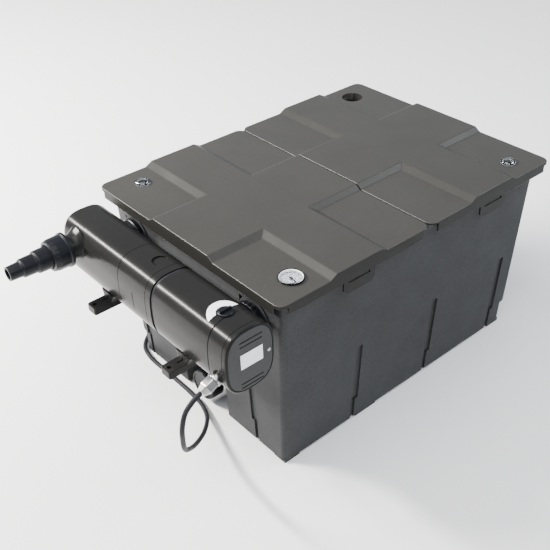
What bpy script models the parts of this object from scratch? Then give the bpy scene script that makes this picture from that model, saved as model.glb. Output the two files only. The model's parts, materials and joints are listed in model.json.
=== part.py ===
"""Box filter for a garden pond, with an ultraviolet clarifier on its front wall.

Metres, +Z up. The origin is the centre of the tank's base, on the ground.
-Y is the front, where the clarifier hangs. +X is the end with the lamp head.
"""
import math

import bmesh
import bpy
from mathutils import Matrix, Vector

# ---------------------------------------------------------------- driving dimensions
GAP = 0.0003                 # running gap between touching pieces

# lids
LID_HALF_X = 0.225
LID_DEPTH = 0.298            # one lid, front to back
LID_SEAM = 0.002             # gap between the two lids
LID_CENTRE_Y = (LID_DEPTH + LID_SEAM) / 2
LID_PAD_Z = 0.343            # top of the four low corner pads
LID_STEP = 0.007             # the raised cross stands this much above the pads
LID_SHEET = 0.003
LID_CORNER = 0.014
LID_SKIRT = 0.018
CROSS_X = (0.068, 0.079)     # half width of the cross's long arm, at its top and its foot
CROSS_Y = (0.044, 0.057)
FITTING_X = 0.182            # round fittings, on the corner pads
FITTING_Y = 0.241

# tank
TANK_TOP = LID_PAD_Z - LID_SHEET - 0.0005
TANK_FOOT = 0.005
TANK_STEP_Z = 0.046          # the left and rear walls step in below this height
TANK_WALL = 0.005
TANK_CORNER = 0.010
TANK_BASE_X = 0.191
TANK_BASE_Y = 0.2695
TANK_DRAFT_HEIGHT = 0.323
TANK_DRAFT_X = 0.020         # a side wall leans out this much over the draft height
TANK_DRAFT_Y = 0.0135
REAR_UPPER_Y = 0.278
LEFT_UPPER_STEP = 0.0065
RIM_HALF_X = 0.2214
RIM_HALF_Y = 0.2953
RIM_HEIGHT = 0.006
GROOVE_DEPTH = 0.003
GROOVE_WIDE = 0.014
GROOVE_NARROW = 0.008
POCKET_X = (-0.064, 0.050)   # recess in the front wall, around the drain
POCKET_BACK_Y = -0.230
POCKET_TOP = 0.096

# ports
PORT_X = 0.149
PORT_Z = 0.278
PORT_BORE = 0.0195
PORT_FACE_Y = -0.2845
DRAIN_X = -0.007
DRAIN_Z = 0.039
OUTLET_Z = 0.245

# clarifier
UV_Y = -0.3436
UV_Z = 0.2781
UV_HALF_Y = 0.0419
UV_HALF_Z = 0.0525
UV_POWER = 2.94              # exponent of the rounded-square section
UV_WALL = 0.004
UV_LEFT = -0.2073
UV_RING_X = (0.0415, 0.0465)
UV_SEAM_X = 0.176
UV_RIGHT = 0.215
LOCK_AT = Vector((0.1680, -0.3457, 0.3306))
INLET_X = -0.163
INLET_Z = 0.2955
LUG_X = 0.100
LUG_TOP = 0.223

# power cord
CORD_DIAMETER = 0.0075
GLAND_BASE = Vector((0.1900, -0.3850, 0.2520))
GLAND_DIRECTION = Vector((0.0, -0.927, -0.375)).normalized()
GLAND_REACH = 0.0285
COIL_CENTRE = Vector((-0.3045, -0.1200, 0.0))
COIL_MEAN_RADIUS = 0.0455
COIL_HALF_BAND = 0.0155
COIL_BOTTOM = 0.0018
PLUG_AT = Vector((-0.2320, -0.0850, 0.0188))

X_AXIS = Vector((1, 0, 0))
Y_AXIS = Vector((0, 1, 0))
Z_AXIS = Vector((0, 0, 1))


# ---------------------------------------------------------------- helpers
def clear_scene():
    for old in list(bpy.data.objects):
        bpy.data.objects.remove(old, do_unlink=True)


def make_material(name, colour, roughness, metallic=0.0, alpha=1.0):
    material = bpy.data.materials.new(name)
    material.use_nodes = True
    shader = material.node_tree.nodes["Principled BSDF"]
    shader.inputs["Base Color"].default_value = (*colour, 1.0)
    shader.inputs["Roughness"].default_value = roughness
    shader.inputs["Metallic"].default_value = metallic
    shader.inputs["Alpha"].default_value = alpha
    return material


def add_object(name, bm, material=None, origin=(0, 0, 0), smooth_angle=35):
    """Turn a bmesh made in world places into an object whose origin is `origin`."""
    bmesh.ops.recalc_face_normals(bm, faces=bm.faces)
    bmesh.ops.translate(bm, verts=bm.verts, vec=-Vector(origin))
    mesh = bpy.data.meshes.new(name)
    bm.to_mesh(mesh)
    bm.free()
    mesh.shade_smooth()
    mesh.set_sharp_from_angle(angle=math.radians(smooth_angle))
    obj = bpy.data.objects.new(name, mesh)
    obj.location = origin
    bpy.context.scene.collection.objects.link(obj)
    if material:
        mesh.materials.append(material)
    return obj


def as_tool(obj):
    """Mark an object that only shapes another one."""
    obj.hide_render = True
    obj.display_type = "WIRE"
    return obj


def combine(target, tool, operation):
    modifier = target.modifiers.new(operation.lower(), "BOOLEAN")
    modifier.operation = operation
    modifier.solver = "EXACT"
    modifier.object = as_tool(tool)


def cut(target, tool):
    combine(target, tool, "DIFFERENCE")


def join(target, tool):
    combine(target, tool, "UNION")


def skin(bm, rings, closed=False):
    """Cover a row of rings with faces. An open row gets a flat cap at each end."""
    rows = [[bm.verts.new(point) for point in ring] for ring in rings]
    pairs = list(zip(rows, rows[1:]))
    if closed:
        pairs.append((rows[-1], rows[0]))
    for low, high in pairs:
        for i in range(len(low)):
            j = (i + 1) % len(low)
            bm.faces.new((low[i], low[j], high[j], high[i]))
    if not closed:
        bm.faces.new(rows[0])
        bm.faces.new(rows[-1])
    return bm


def frame_for(axis):
    """Two unit vectors square to an axis."""
    axis = Vector(axis).normalized()
    helper = Z_AXIS if abs(axis.z) < 0.9 else X_AXIS
    first = helper.cross(axis).normalized()
    return first, axis.cross(first)


def circle(centre, axis, radius, segments):
    first, second = frame_for(axis)
    angles = [2 * math.pi * i / segments for i in range(segments)]
    return [Vector(centre) + radius * (math.cos(a) * first + math.sin(a) * second) for a in angles]


def turned(centre, axis, profile, segments=24, closed=False):
    """A lathe-turned solid. The profile holds (radius, distance along the axis)."""
    axis = Vector(axis).normalized()
    rings = [circle(Vector(centre) + axis * along, axis, radius, segments)
             for radius, along in profile]
    return skin(bmesh.new(), rings, closed)


def ring_solid(centre, axis, outer, inner, start, end, segments=24):
    profile = [(outer, start), (outer, end), (inner, end), (inner, start)]
    return turned(centre, axis, profile, segments, closed=True)


def rectangle(x0, x1, y0, y1, corner, z, steps=3):
    """A ring of points round a rectangle with round corners, at height z."""
    points = []
    corners = ((x1, y1, 0), (x0, y1, 90), (x0, y0, 180), (x1, y0, 270))
    for x, y, start in corners:
        cx = x - math.copysign(corner, x - (x0 + x1) / 2)
        cy = y - math.copysign(corner, y - (y0 + y1) / 2)
        for i in range(steps + 1):
            a = math.radians(start + 90 * i / steps)
            points.append(Vector((cx + corner * math.cos(a), cy + corner * math.sin(a), z)))
    return points


def box(low, high):
    bm = bmesh.new()
    matrix = Matrix.LocRotScale((Vector(low) + Vector(high)) / 2, None, Vector(high) - Vector(low))
    bmesh.ops.create_cube(bm, size=1.0, matrix=matrix)
    return bm


def box_tool(low, high):
    return add_object("tool_box", box(low, high))


def round_tool(centre, axis, radius, start, end, segments=24):
    return add_object("tool_round", turned(centre, axis, [(radius, start), (radius, end)], segments))


def uv_section(x, inset=0.0, points=28):
    """The clarifier's rounded-square section, in the plane at x."""
    ring = []
    for i in range(points):
        a = 2 * math.pi * i / points
        c, s = math.cos(a), math.sin(a)
        y = (UV_HALF_Y - inset) * math.copysign(abs(c) ** (2 / UV_POWER), c)
        z = (UV_HALF_Z - inset) * math.copysign(abs(s) ** (2 / UV_POWER), s)
        ring.append(Vector((x, UV_Y + y, UV_Z + z)))
    return ring


# ---------------------------------------------------------------- tank
def right_wall_x(z):
    return TANK_BASE_X + TANK_DRAFT_X * z / TANK_DRAFT_HEIGHT


def front_wall_y(z):
    return -TANK_BASE_Y - TANK_DRAFT_Y * z / TANK_DRAFT_HEIGHT


def left_wall_x(z):
    return -right_wall_x(z) - LEFT_UPPER_STEP * (1 - z / TANK_DRAFT_HEIGHT)


def tank_ring(z, inset=0.0, stepped_in=False):
    left = -right_wall_x(z) if stepped_in else left_wall_x(z)
    rear = TANK_BASE_Y if stepped_in else REAR_UPPER_Y
    return rectangle(left + inset, right_wall_x(z) - inset, front_wall_y(z) + inset, rear - inset,
                     max(TANK_CORNER - inset, 0.004), z)


def build_tank(material):
    flange_z = TANK_TOP - RIM_HEIGHT
    rim = [rectangle(-RIM_HALF_X, RIM_HALF_X, -RIM_HALF_Y, RIM_HALF_Y, 0.012, z)
           for z in (flange_z, TANK_TOP)]
    outside = [tank_ring(TANK_FOOT, stepped_in=True), tank_ring(TANK_STEP_Z, stepped_in=True),
               tank_ring(TANK_STEP_Z + 0.002), tank_ring(flange_z)]
    floor_z = TANK_FOOT + 0.007
    inside = [tank_ring(TANK_TOP, TANK_WALL), tank_ring(TANK_STEP_Z + 0.007, TANK_WALL),
              tank_ring(TANK_STEP_Z, TANK_WALL, stepped_in=True),
              tank_ring(floor_z, TANK_WALL, stepped_in=True)]
    tank = add_object("tank_shell", skin(bmesh.new(), outside + rim + inside), material)
    add_drain_pocket(tank)
    add_feet(tank)
    cut_grooves(tank)
    cut_ports(tank)
    return tank


def add_drain_pocket(tank):
    shell = 0.004
    x0, x1 = POCKET_X
    join(tank, box_tool((x0 - shell, front_wall_y(0) + 0.002, TANK_FOOT + 0.001),
                        (x1 + shell, POCKET_BACK_Y + shell, POCKET_TOP + shell)))
    cut(tank, box_tool((x0, -0.32, -0.02), (x1, POCKET_BACK_Y, POCKET_TOP)))


def add_feet(tank):
    pads = [(0.164, 0.190, -0.268, -0.237), (-0.190, -0.164, -0.268, -0.237),
            (0.164, 0.190, 0.237, 0.268), (-0.190, -0.164, 0.237, 0.268),
            (0.172, 0.190, -0.112, -0.064), (-0.190, -0.172, -0.112, -0.064),
            (-0.030, 0.030, -0.030, 0.030)]
    for x0, x1, y0, y1 in pads:
        join(tank, box_tool((x0, y0, 0.0), (x1, y1, TANK_FOOT + 0.002)))


def groove_tool(side, centre, width, z0, z1):
    """A tapered slot tool that follows the lean of one wall."""
    rings = []
    for z in (z0, z1):
        wall = {"right": right_wall_x(z), "left": -left_wall_x(z), "front": -front_wall_y(z),
                "rear": REAR_UPPER_Y}[side]
        low, high = wall - GROOVE_DEPTH, wall + 0.03
        a, b = centre - width / 2, centre + width / 2
        if side in ("right", "left"):
            sign = 1 if side == "right" else -1
            rings.append([Vector((sign * low, a, z)), Vector((sign * high, a, z)),
                          Vector((sign * high, b, z)), Vector((sign * low, b, z))])
        else:
            sign = 1 if side == "rear" else -1
            rings.append([Vector((a, sign * low, z)), Vector((b, sign * low, z)),
                          Vector((b, sign * high, z)), Vector((a, sign * high, z))])
    return add_object("tool_groove", skin(bmesh.new(), rings))


def cut_grooves(tank):
    side_centres = (-0.119, 0.057, 0.233)
    front_centres = (-0.173, 0.122)
    offset = (GROOVE_WIDE - GROOVE_NARROW) / 2
    for y in side_centres:
        for side in ("right", "left"):
            cut(tank, groove_tool(side, y, GROOVE_WIDE, TANK_STEP_Z, 0.163))
            cut(tank, groove_tool(side, y - offset, GROOVE_NARROW, -0.01, TANK_STEP_Z + 0.001))
    for x in front_centres:
        cut(tank, groove_tool("front", x, GROOVE_WIDE, TANK_STEP_Z, 0.300))
        cut(tank, groove_tool("front", x + offset, GROOVE_NARROW, -0.01, TANK_STEP_Z + 0.001))


def cut_ports(tank):
    """Flat pads round the wall ports, then the bores."""
    for x in (PORT_X, -PORT_X):
        join(tank, round_tool((x, PORT_FACE_Y, PORT_Z), Y_AXIS, 0.033, 0.0, 0.006))
        cut(tank, round_tool((x, PORT_FACE_Y, PORT_Z), Y_AXIS, PORT_BORE + GAP, -0.01, 0.03))
    cut(tank, round_tool((DRAIN_X, POCKET_BACK_Y, DRAIN_Z), Y_AXIS, 0.0155 + GAP, -0.01, 0.02))
    cut(tank, round_tool((0, REAR_UPPER_Y, OUTLET_Z), Y_AXIS, 0.0255 + GAP, -0.02, 0.02))


# ---------------------------------------------------------------- lids
def pad_or_cross(x, y):
    """Height above the pads: 1 on the raised cross, 0 on a pad, sloping between."""
    across = (CROSS_X[1] - abs(x)) / (CROSS_X[1] - CROSS_X[0])
    along = (CROSS_Y[1] - abs(y)) / (CROSS_Y[1] - CROSS_Y[0])
    return min(max(across, along, 0.0), 1.0)


def lid_sheet(bm, inset, drop):
    """One face of the lid's sheet: a round-cornered plate, creased and raised."""
    x1, y1 = LID_HALF_X - inset, LID_DEPTH / 2 - inset
    ring = rectangle(-x1, x1, -y1, y1, LID_CORNER - inset, 0.0)
    face = bm.faces.new([bm.verts.new(p) for p in ring])
    part = {"verts": list(face.verts), "edges": list(face.edges), "faces": [face]}
    folds = [(X_AXIS, v) for v in (*CROSS_X, -CROSS_X[0], -CROSS_X[1])]
    folds += [(Y_AXIS, v) for v in (*CROSS_Y, -CROSS_Y[0], -CROSS_Y[1])]
    for axis, value in folds:
        geometry = part["verts"] + part["edges"] + part["faces"]
        result = bmesh.ops.bisect_plane(bm, geom=geometry, dist=1e-7, plane_co=axis * value,
                                        plane_no=axis)
        found = result["geom"]
        part = {"verts": [g for g in found if isinstance(g, bmesh.types.BMVert)],
                "edges": [g for g in found if isinstance(g, bmesh.types.BMEdge)],
                "faces": [g for g in found if isinstance(g, bmesh.types.BMFace)]}
    crease_corners(bm, part["faces"])
    for vert in part["verts"]:
        vert.co.z = LID_PAD_Z - drop + LID_STEP * pad_or_cross(vert.co.x, vert.co.y)
    edge_verts = {v for e in part["edges"] if e.is_valid and e.is_boundary for v in e.verts}
    return sorted(edge_verts, key=lambda v: math.atan2(v.co.y, v.co.x))


def crease_corners(bm, faces):
    """Split the four small squares where two slopes meet along their diagonal."""
    for face in list(faces):
        c = face.calc_center_median()
        if CROSS_X[0] < abs(c.x) < CROSS_X[1] and CROSS_Y[0] < abs(c.y) < CROSS_Y[1]:
            inner = min(face.verts, key=lambda v: v.co.length)
            outer = max(face.verts, key=lambda v: v.co.length)
            bmesh.utils.face_split(face, inner, outer)


def build_lid(name, centre_y, material):
    bm = bmesh.new()
    top = lid_sheet(bm, 0.0, 0.0)
    under = lid_sheet(bm, LID_SHEET, LID_SHEET)
    skirt_z = LID_PAD_Z - LID_SKIRT
    outer, inner = ([bm.verts.new((v.co.x, v.co.y, skirt_z)) for v in row] for row in (top, under))
    for low, high in ((top, outer), (outer, inner), (inner, under)):
        for i in range(len(low)):
            j = (i + 1) % len(low)
            bm.faces.new((low[i], low[j], high[j], high[i]))
    bmesh.ops.translate(bm, verts=bm.verts, vec=(0, centre_y, 0))
    lid = add_object(name, bm, material, smooth_angle=20)
    add_latches(lid, centre_y)
    open_skirt_corners(lid, centre_y)
    return lid


def add_latches(lid, centre_y):
    """A hanging tab with a slot on each side of the lid."""
    for side in (1, -1):
        x0, x1 = sorted((side * (LID_HALF_X - LID_SHEET), side * LID_HALF_X))
        y0, y1 = centre_y - 0.031, centre_y + 0.031
        rings = [[Vector((x, y0 + lift, z)) if i == 0 else Vector((x, y1 - lift, z))
                  for i, (lift, z) in ((0, (0.0, 0.3255)), (1, (0.0, 0.3255)), (1, (0.0, 0.3110)),
                                       (1, (0.008, 0.3045)), (0, (0.008, 0.3045)), (0, (0.0, 0.3110)))]
                 for x in (x0 + 0.00002, x1 - 0.00002)]
        join(lid, add_object("tool_tab", skin(bmesh.new(), rings)))
        cut(lid, box_tool((x0 - 0.002, centre_y - 0.021, 0.3215), (x1 + 0.002, centre_y + 0.021, 0.3265)))


def open_skirt_corners(lid, centre_y):
    """The skirt stops short of each corner."""
    reach = 0.016
    for sx in (1, -1):
        for sy in (1, -1):
            corner = Vector((sx * LID_HALF_X, centre_y + sy * LID_DEPTH / 2, 0))
            near = corner - Vector((sx * reach, sy * reach, 0))
            far = corner + Vector((sx * 0.01, sy * 0.01, 0))
            low = (min(near.x, far.x), min(near.y, far.y), 0.30)
            high = (max(near.x, far.x), max(near.y, far.y), LID_PAD_Z - 0.0055)
            cut(lid, box_tool(low, high))
    inner = 1 if centre_y < 0 else -1
    seam = centre_y + inner * LID_DEPTH / 2
    y0, y1 = sorted((seam - inner * (LID_CORNER + 0.002), seam + inner * 0.001))
    cut(lid, box_tool((-0.230, y0, 0.30), (0.230, y1, LID_PAD_Z - LID_SHEET - 0.0002)))


def pierce_lid(lid, x, y, radius):
    cut(lid, round_tool((x, y, 0.30), Z_AXIS, radius + GAP, 0.0, 0.08))


def build_lids(material):
    front = build_lid("front_lid", -LID_CENTRE_Y, material)
    rear = build_lid("rear_lid", LID_CENTRE_Y, material)
    pierce_lid(front, FITTING_X, -FITTING_Y, 0.0165)
    pierce_lid(front, -FITTING_X, -FITTING_Y, 0.0105)
    pierce_lid(rear, FITTING_X, FITTING_Y, 0.0105)
    tool = add_object("tool_socket", turned((-FITTING_X, FITTING_Y, 0), Z_AXIS,
                                            [(0.0225, 0.322), (0.0225, LID_PAD_Z - 0.001)]))
    join(rear, tool)
    cut(rear, round_tool((-FITTING_X, FITTING_Y, 0.325), Z_AXIS, 0.0195, 0.0, 0.03))
    return front, rear


# ---------------------------------------------------------------- lid fittings
def build_thermometer(dark, white, red, glass):
    centre = (FITTING_X, -FITTING_Y, LID_PAD_Z)
    case = [(0.0032, -0.075), (0.0032, -0.020), (0.0162, -0.019), (0.0162, -0.0005), (0.0150, -0.0005),
            (0.0150, -0.0170), (0.0040, -0.0170)]
    add_object("thermometer_case", turned(centre, Z_AXIS, case), dark)
    bezel = [(0.0190, 0.0003), (0.0190, 0.0022), (0.0180, 0.0032), (0.0165, 0.0032), (0.0165, 0.0003)]
    add_object("thermometer_bezel", turned(centre, Z_AXIS, bezel, closed=True), dark)
    dial = [(0.0145, -0.0040), (0.0145, -0.0025), (0.0016, -0.0025), (0.0016, -0.0040)]
    add_object("thermometer_dial", turned(centre, Z_AXIS, dial, closed=True), white)
    build_needle(centre, red)
    lens = [(0.0161, 0.0003), (0.0161, 0.0018), (0.0100, 0.0028)]
    add_object("thermometer_lens", turned(centre, Z_AXIS, lens), glass)


def build_needle(centre, material):
    """A tapered pointer with a hub whose pin turns in the dial."""
    hub = turned(centre, Z_AXIS, [(0.0012, -0.0055), (0.0012, -0.0022), (0.0022, -0.0022),
                                  (0.0022, -0.0010)], 12)
    needle = add_object("thermometer_needle", hub, material, origin=centre)
    z0, z1 = centre[2] - 0.0019, centre[2] - 0.0013
    outline = [(-0.004, -0.0009), (0.0115, -0.0003), (0.0115, 0.0003), (-0.004, 0.0009)]
    rings = [[Vector((centre[0] + x, centre[1] + y, z)) for x, y in outline] for z in (z0, z1)]
    join(needle, add_object("tool_pointer", skin(bmesh.new(), rings)))


def build_indicator(prefix, x, y, glass, float_material):
    """A clear dome with a float under it, which rises when the foams clog."""
    centre = (x, y, LID_PAD_Z)
    lens = [(0.0050, 0.0064), (0.0105, 0.0048), (0.0130, 0.0018), (0.0130, 0.0003), (0.0102, 0.0003),
            (0.0102, -0.0160), (0.0088, -0.0160), (0.0088, 0.0036), (0.0048, 0.0050)]
    add_object(prefix + "_indicator_lens", turned(centre, Z_AXIS, lens, 20), glass)
    body = [(0.0060, -0.0400), (0.0080, -0.0380), (0.0080, -0.0120), (0.0060, -0.0100)]
    add_object(prefix + "_indicator_float", turned(centre, Z_AXIS, body, 16), float_material,
               origin=centre)


# ---------------------------------------------------------------- clarifier
def uv_shell(x0, x1, end=None):
    """A length of clarifier housing, with a closed end at x0 or x1 or open at both."""
    if end == "left":
        rings = [uv_section(x0, 0.010), uv_section(x0 + 0.0012, 0.005), uv_section(x0 + 0.005, 0.0010),
                 uv_section(x0 + 0.010), uv_section(x1), uv_section(x1, UV_WALL),
                 uv_section(x0 + 0.009, UV_WALL + 0.001), uv_section(x0 + 0.005, 0.014)]
        return skin(bmesh.new(), rings)
    rings = [uv_section(x0), uv_section(x1), uv_section(x1, UV_WALL), uv_section(x0, UV_WALL)]
    return skin(bmesh.new(), rings, closed=True)


def add_lug(housing, x):
    """A mounting lug under the housing, with a bolt hole and a slot."""
    half = 0.01125
    bolt_y, slot_y = -0.402, (-0.388, -0.373)
    low_z = LUG_TOP - 0.014
    join(housing, box_tool((x - half, -0.409, low_z), (x + half, -0.335, LUG_TOP)))
    join(housing, box_tool((x - half - 0.004, -0.3785, LUG_TOP - 0.006),
                           (x + half + 0.004, -0.3365, UV_Z - UV_HALF_Z + 0.0075)))
    cut(housing, round_tool((x, bolt_y, low_z), Z_AXIS, 0.0032, -0.01, 0.03, 16))
    cut(housing, box_tool((x - 0.0012, slot_y[0], LUG_TOP - 0.006), (x + 0.0012, slot_y[1], LUG_TOP + 0.004)))


def build_inlet_chamber(material):
    chamber = add_object("uv_inlet_chamber", uv_shell(UV_LEFT, UV_RING_X[0] - GAP, "left"), material)
    centre = (INLET_X, UV_Y - UV_HALF_Y, INLET_Z)
    nozzle = [(0.0210, 0.0025), (0.0205, -0.0040), (0.0190, -0.0110), (0.0190, -0.0200),
              (0.0175, -0.0200), (0.0175, -0.0400)]
    join(chamber, add_object("tool_nozzle", turned(centre, Y_AXIS, nozzle)))
    cut(chamber, round_tool(centre, Y_AXIS, 0.0135, -0.05, 0.012))
    add_lug(chamber, -LUG_X)
    cut(chamber, box_tool((-0.0068, -0.3900, 0.2570), (-0.0052, -0.3840, 0.2890)))
    return chamber


def build_outlet_chamber(material):
    chamber = add_object("uv_outlet_chamber", uv_shell(UV_RING_X[1] + GAP, UV_SEAM_X - GAP), material)
    cut(chamber, round_tool((PORT_X, UV_Y + UV_HALF_Y, PORT_Z), Y_AXIS, PORT_BORE + GAP, -0.02, 0.02))
    cut(chamber, round_tool(LOCK_AT, Z_AXIS, 0.0042 + GAP, -0.03, 0.03, 16))
    add_lug(chamber, LUG_X)
    return chamber


def build_head(dark, plate_material, label_material, metal):
    cap = add_object("uv_head_cap", head_cap_shell(), dark)
    cut(cap, gland_tool(0.0062 + GAP))
    plate_x = UV_RIGHT - 0.0030
    rings = [uv_section(plate_x, 0.0036), uv_section(UV_RIGHT - 0.0006, 0.0036),
             uv_section(UV_RIGHT, 0.0042)]
    plate = add_object("head_end_plate", skin(bmesh.new(), rings), plate_material)
    for z in (0.3125, 0.3050, 0.2420, 0.2350):
        cut(plate, box_tool((plate_x - 0.01, -0.3610, z - 0.0011), (UV_RIGHT + 0.01, -0.3225, z + 0.0011)))
    screw_at = (UV_RIGHT, -0.3115, 0.2760)
    cut(plate, round_tool(screw_at, X_AXIS, 0.0026 + GAP, -0.01, 0.01, 16))
    label = box((UV_RIGHT + GAP, -0.3610, 0.2680), (UV_RIGHT + 0.0008, -0.3230, 0.2925))
    add_object("head_label", label, label_material)
    screw = [(0.0013, -0.0027), (0.0013, -0.0005), (0.0026, -0.0005), (0.0026, 0.0006)]
    add_object("end_plate_screw", turned(screw_at, X_AXIS, screw, 16), metal)


def head_cap_shell():
    """A short sleeve with a soft outer rim and a ledge that carries the end plate."""
    x0, x1 = UV_SEAM_X + GAP, UV_RIGHT
    ledge = UV_RIGHT - 0.0033
    rings = [uv_section(x0), uv_section(x1 - 0.0030), uv_section(x1 - 0.0010, 0.0007),
             uv_section(x1, 0.0020), uv_section(x1, 0.0030), uv_section(ledge, 0.0030),
             uv_section(ledge, 0.0090), uv_section(ledge - 0.004, 0.0090),
             uv_section(ledge - 0.009, UV_WALL), uv_section(x0, UV_WALL)]
    return skin(bmesh.new(), rings, closed=True)


def build_lock(knob_material, dial_material):
    knob = [(0.0042, -0.0080), (0.0042, 0.0005), (0.0112, 0.0005), (0.0112, 0.0020), (0.0100, 0.0028)]
    lock = add_object("lamp_lock_knob", turned(LOCK_AT, Z_AXIS, knob, 20), knob_material,
                      origin=LOCK_AT)
    x, y, z = LOCK_AT
    join(lock, box_tool((x - 0.0018, y - 0.0100, z + 0.0015), (x + 0.0018, y + 0.0100, z + 0.0060)))
    add_object("lock_dial_plate", dial_plate(), dial_material)


def uv_top_z(y):
    """Height of the housing's crown at y."""
    across = abs((y - UV_Y) / UV_HALF_Y) ** UV_POWER
    return UV_Z + UV_HALF_Z * (1 - across) ** (1 / UV_POWER)


def dial_plate():
    """A thin C-shaped plate that follows the housing's crown, cut straight towards the head."""
    steps, thickness, cut_x = 14, 0.0007, -0.0044
    radii = (0.0130, 0.0170, 0.0210, 0.0255)
    bm = bmesh.new()
    layers = []
    for lift in (GAP, GAP + thickness):
        layer = []
        for i in range(steps + 1):
            row = []
            for radius in radii:
                start = math.acos(cut_x / radius)
                a = start + 2 * (math.pi - start) * i / steps
                x, y = LOCK_AT.x + radius * math.cos(a), LOCK_AT.y + radius * math.sin(a)
                row.append(bm.verts.new((x, y, uv_top_z(y) + lift)))
            layer.append(row)
        layers.append(layer)
    low, high = layers
    wide = len(radii) - 1
    for i in range(steps):
        for j in range(wide):
            bm.faces.new((low[i][j], low[i + 1][j], low[i + 1][j + 1], low[i][j + 1]))
            bm.faces.new((high[i][j], high[i][j + 1], high[i + 1][j + 1], high[i + 1][j]))
        for j in (0, wide):
            bm.faces.new((low[i][j], low[i + 1][j], high[i + 1][j], high[i][j]))
    for i in (0, steps):
        for j in range(wide):
            bm.faces.new((low[i][j], low[i][j + 1], high[i][j + 1], high[i][j]))
    return bm


def build_lamp(glass, lamp_glass, dark, rubber, metal):
    axis_at = (0, UV_Y, UV_Z)
    sleeve = [(0.0150, -0.150), (0.0150, 0.160), (0.0135, 0.160), (0.0135, -0.148)]
    add_object("quartz_sleeve", turned(axis_at, X_AXIS, sleeve, 20), glass)
    lamp = [(0.0080, -0.130), (0.0080, 0.150), (0.0100, 0.1505), (0.0100, 0.168)]
    add_object("uv_lamp", turned(axis_at, X_AXIS, lamp, 16), lamp_glass)
    holder = [(0.0160, 0.1610), (0.0160, 0.1685), (0.0320, 0.1685), (0.0320, 0.1740), (0.0140, 0.1740),
              (0.0140, 0.1860), (0.0104, 0.1860), (0.0104, 0.1610)]
    add_object("lamp_holder", turned(axis_at, X_AXIS, holder, 20, closed=True), dark)
    seal = [(0.0180, 0.1560), (0.0180, 0.1605), (0.0153, 0.1605), (0.0153, 0.1560)]
    add_object("sleeve_seal", turned(axis_at, X_AXIS, seal, 20, closed=True), rubber)
    add_object("ballast", box((0.1895, -0.3640, 0.2540), (0.2080, -0.3230, 0.3020)), metal)


def build_seal_ring(rubber):
    rings = [uv_section(UV_RING_X[0], 0.0016), uv_section(UV_RING_X[1], 0.0016),
             uv_section(UV_RING_X[1], 0.0060), uv_section(UV_RING_X[0], 0.0060)]
    add_object("uv_seal_ring", skin(bmesh.new(), rings, closed=True), rubber)


# ---------------------------------------------------------------- pipe fittings
def ribbed_ring(centre, axis, outer, inner, start, end, ribs):
    """A nut with flat-topped ribs all round."""
    teeth = ribs * 4
    first, second = frame_for(axis)
    axis = Vector(axis).normalized()

    def ring(radius, along, depth):
        points = []
        for i in range(teeth):
            a = 2 * math.pi * i / teeth
            r = radius - (depth if i % 4 in (2, 3) else 0.0)
            points.append(Vector(centre) + axis * along + r * (math.cos(a) * first + math.sin(a) * second))
        return points

    edge = 0.0012
    rings = [ring(outer - edge, start, 0.0), ring(outer, start + edge, 0.0012),
             ring(outer, end - edge, 0.0012), ring(outer - edge, end, 0.0),
             ring(inner, end, 0.0), ring(inner, start, 0.0)]
    return skin(bmesh.new(), rings, closed=True)


def build_inlet(dark):
    centre = (INLET_X, UV_Y - UV_HALF_Y, INLET_Z)
    nut = [(0.0285, -0.0165), (0.0285, -0.0205), (0.0268, -0.0215), (0.0262, -0.0380),
           (0.0245, -0.0480), (0.0200, -0.0490), (0.0200, -0.0455), (0.0215, -0.0450),
           (0.0215, -0.0205), (0.0196, -0.0200), (0.0196, -0.0165)]
    add_object("inlet_union_nut", turned(centre, Y_AXIS, nut, 24, closed=True), dark, origin=centre)
    tail = [(0.0207, -0.0415), (0.0207, -0.0448), (0.0190, -0.0452), (0.0180, -0.0700),
            (0.0170, -0.0718), (0.0155, -0.0718), (0.0150, -0.0935), (0.0140, -0.0955),
            (0.0125, -0.0955), (0.0115, -0.1165), (0.0085, -0.1165), (0.0085, -0.0950),
            (0.0120, -0.0720), (0.0130, -0.0415)]
    add_object("inlet_hose_tail", turned(centre, Y_AXIS, tail, 24, closed=True), dark)


def build_outlet_union(dark, rubber):
    """The pipe from the clarifier's back through the tank's front wall."""
    centre = (PORT_X, PORT_FACE_Y, PORT_Z)
    back = UV_Y + UV_HALF_Y - PORT_FACE_Y
    pipe = [(PORT_BORE, back - 0.009), (PORT_BORE, back + 0.0020), (0.0240, back + 0.0020),
            (0.0240, back + 0.0050), (PORT_BORE, back + 0.0050), (PORT_BORE, 0.0280),
            (0.0155, 0.0280), (0.0155, back - 0.009)]
    add_object("transfer_pipe", turned(centre, Y_AXIS, pipe, 24, closed=True), dark)
    nut = ribbed_ring(centre, Y_AXIS, 0.0290, PORT_BORE + GAP, back + 0.0055, -0.0031, 10)
    add_object("transfer_union_nut", nut, dark, origin=centre)
    gasket = ring_solid(centre, Y_AXIS, 0.0275, PORT_BORE + GAP, -0.0027, -GAP)
    add_object("wall_gasket", gasket, rubber)
    hexagon = turned(centre, Y_AXIS, [(0.0285, 0.0135), (0.0285, 0.0215)], 6)
    lock = add_object("wall_lock_nut", hexagon, dark)
    cut(lock, round_tool(centre, Y_AXIS, PORT_BORE + GAP, 0.0, 0.04))


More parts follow.
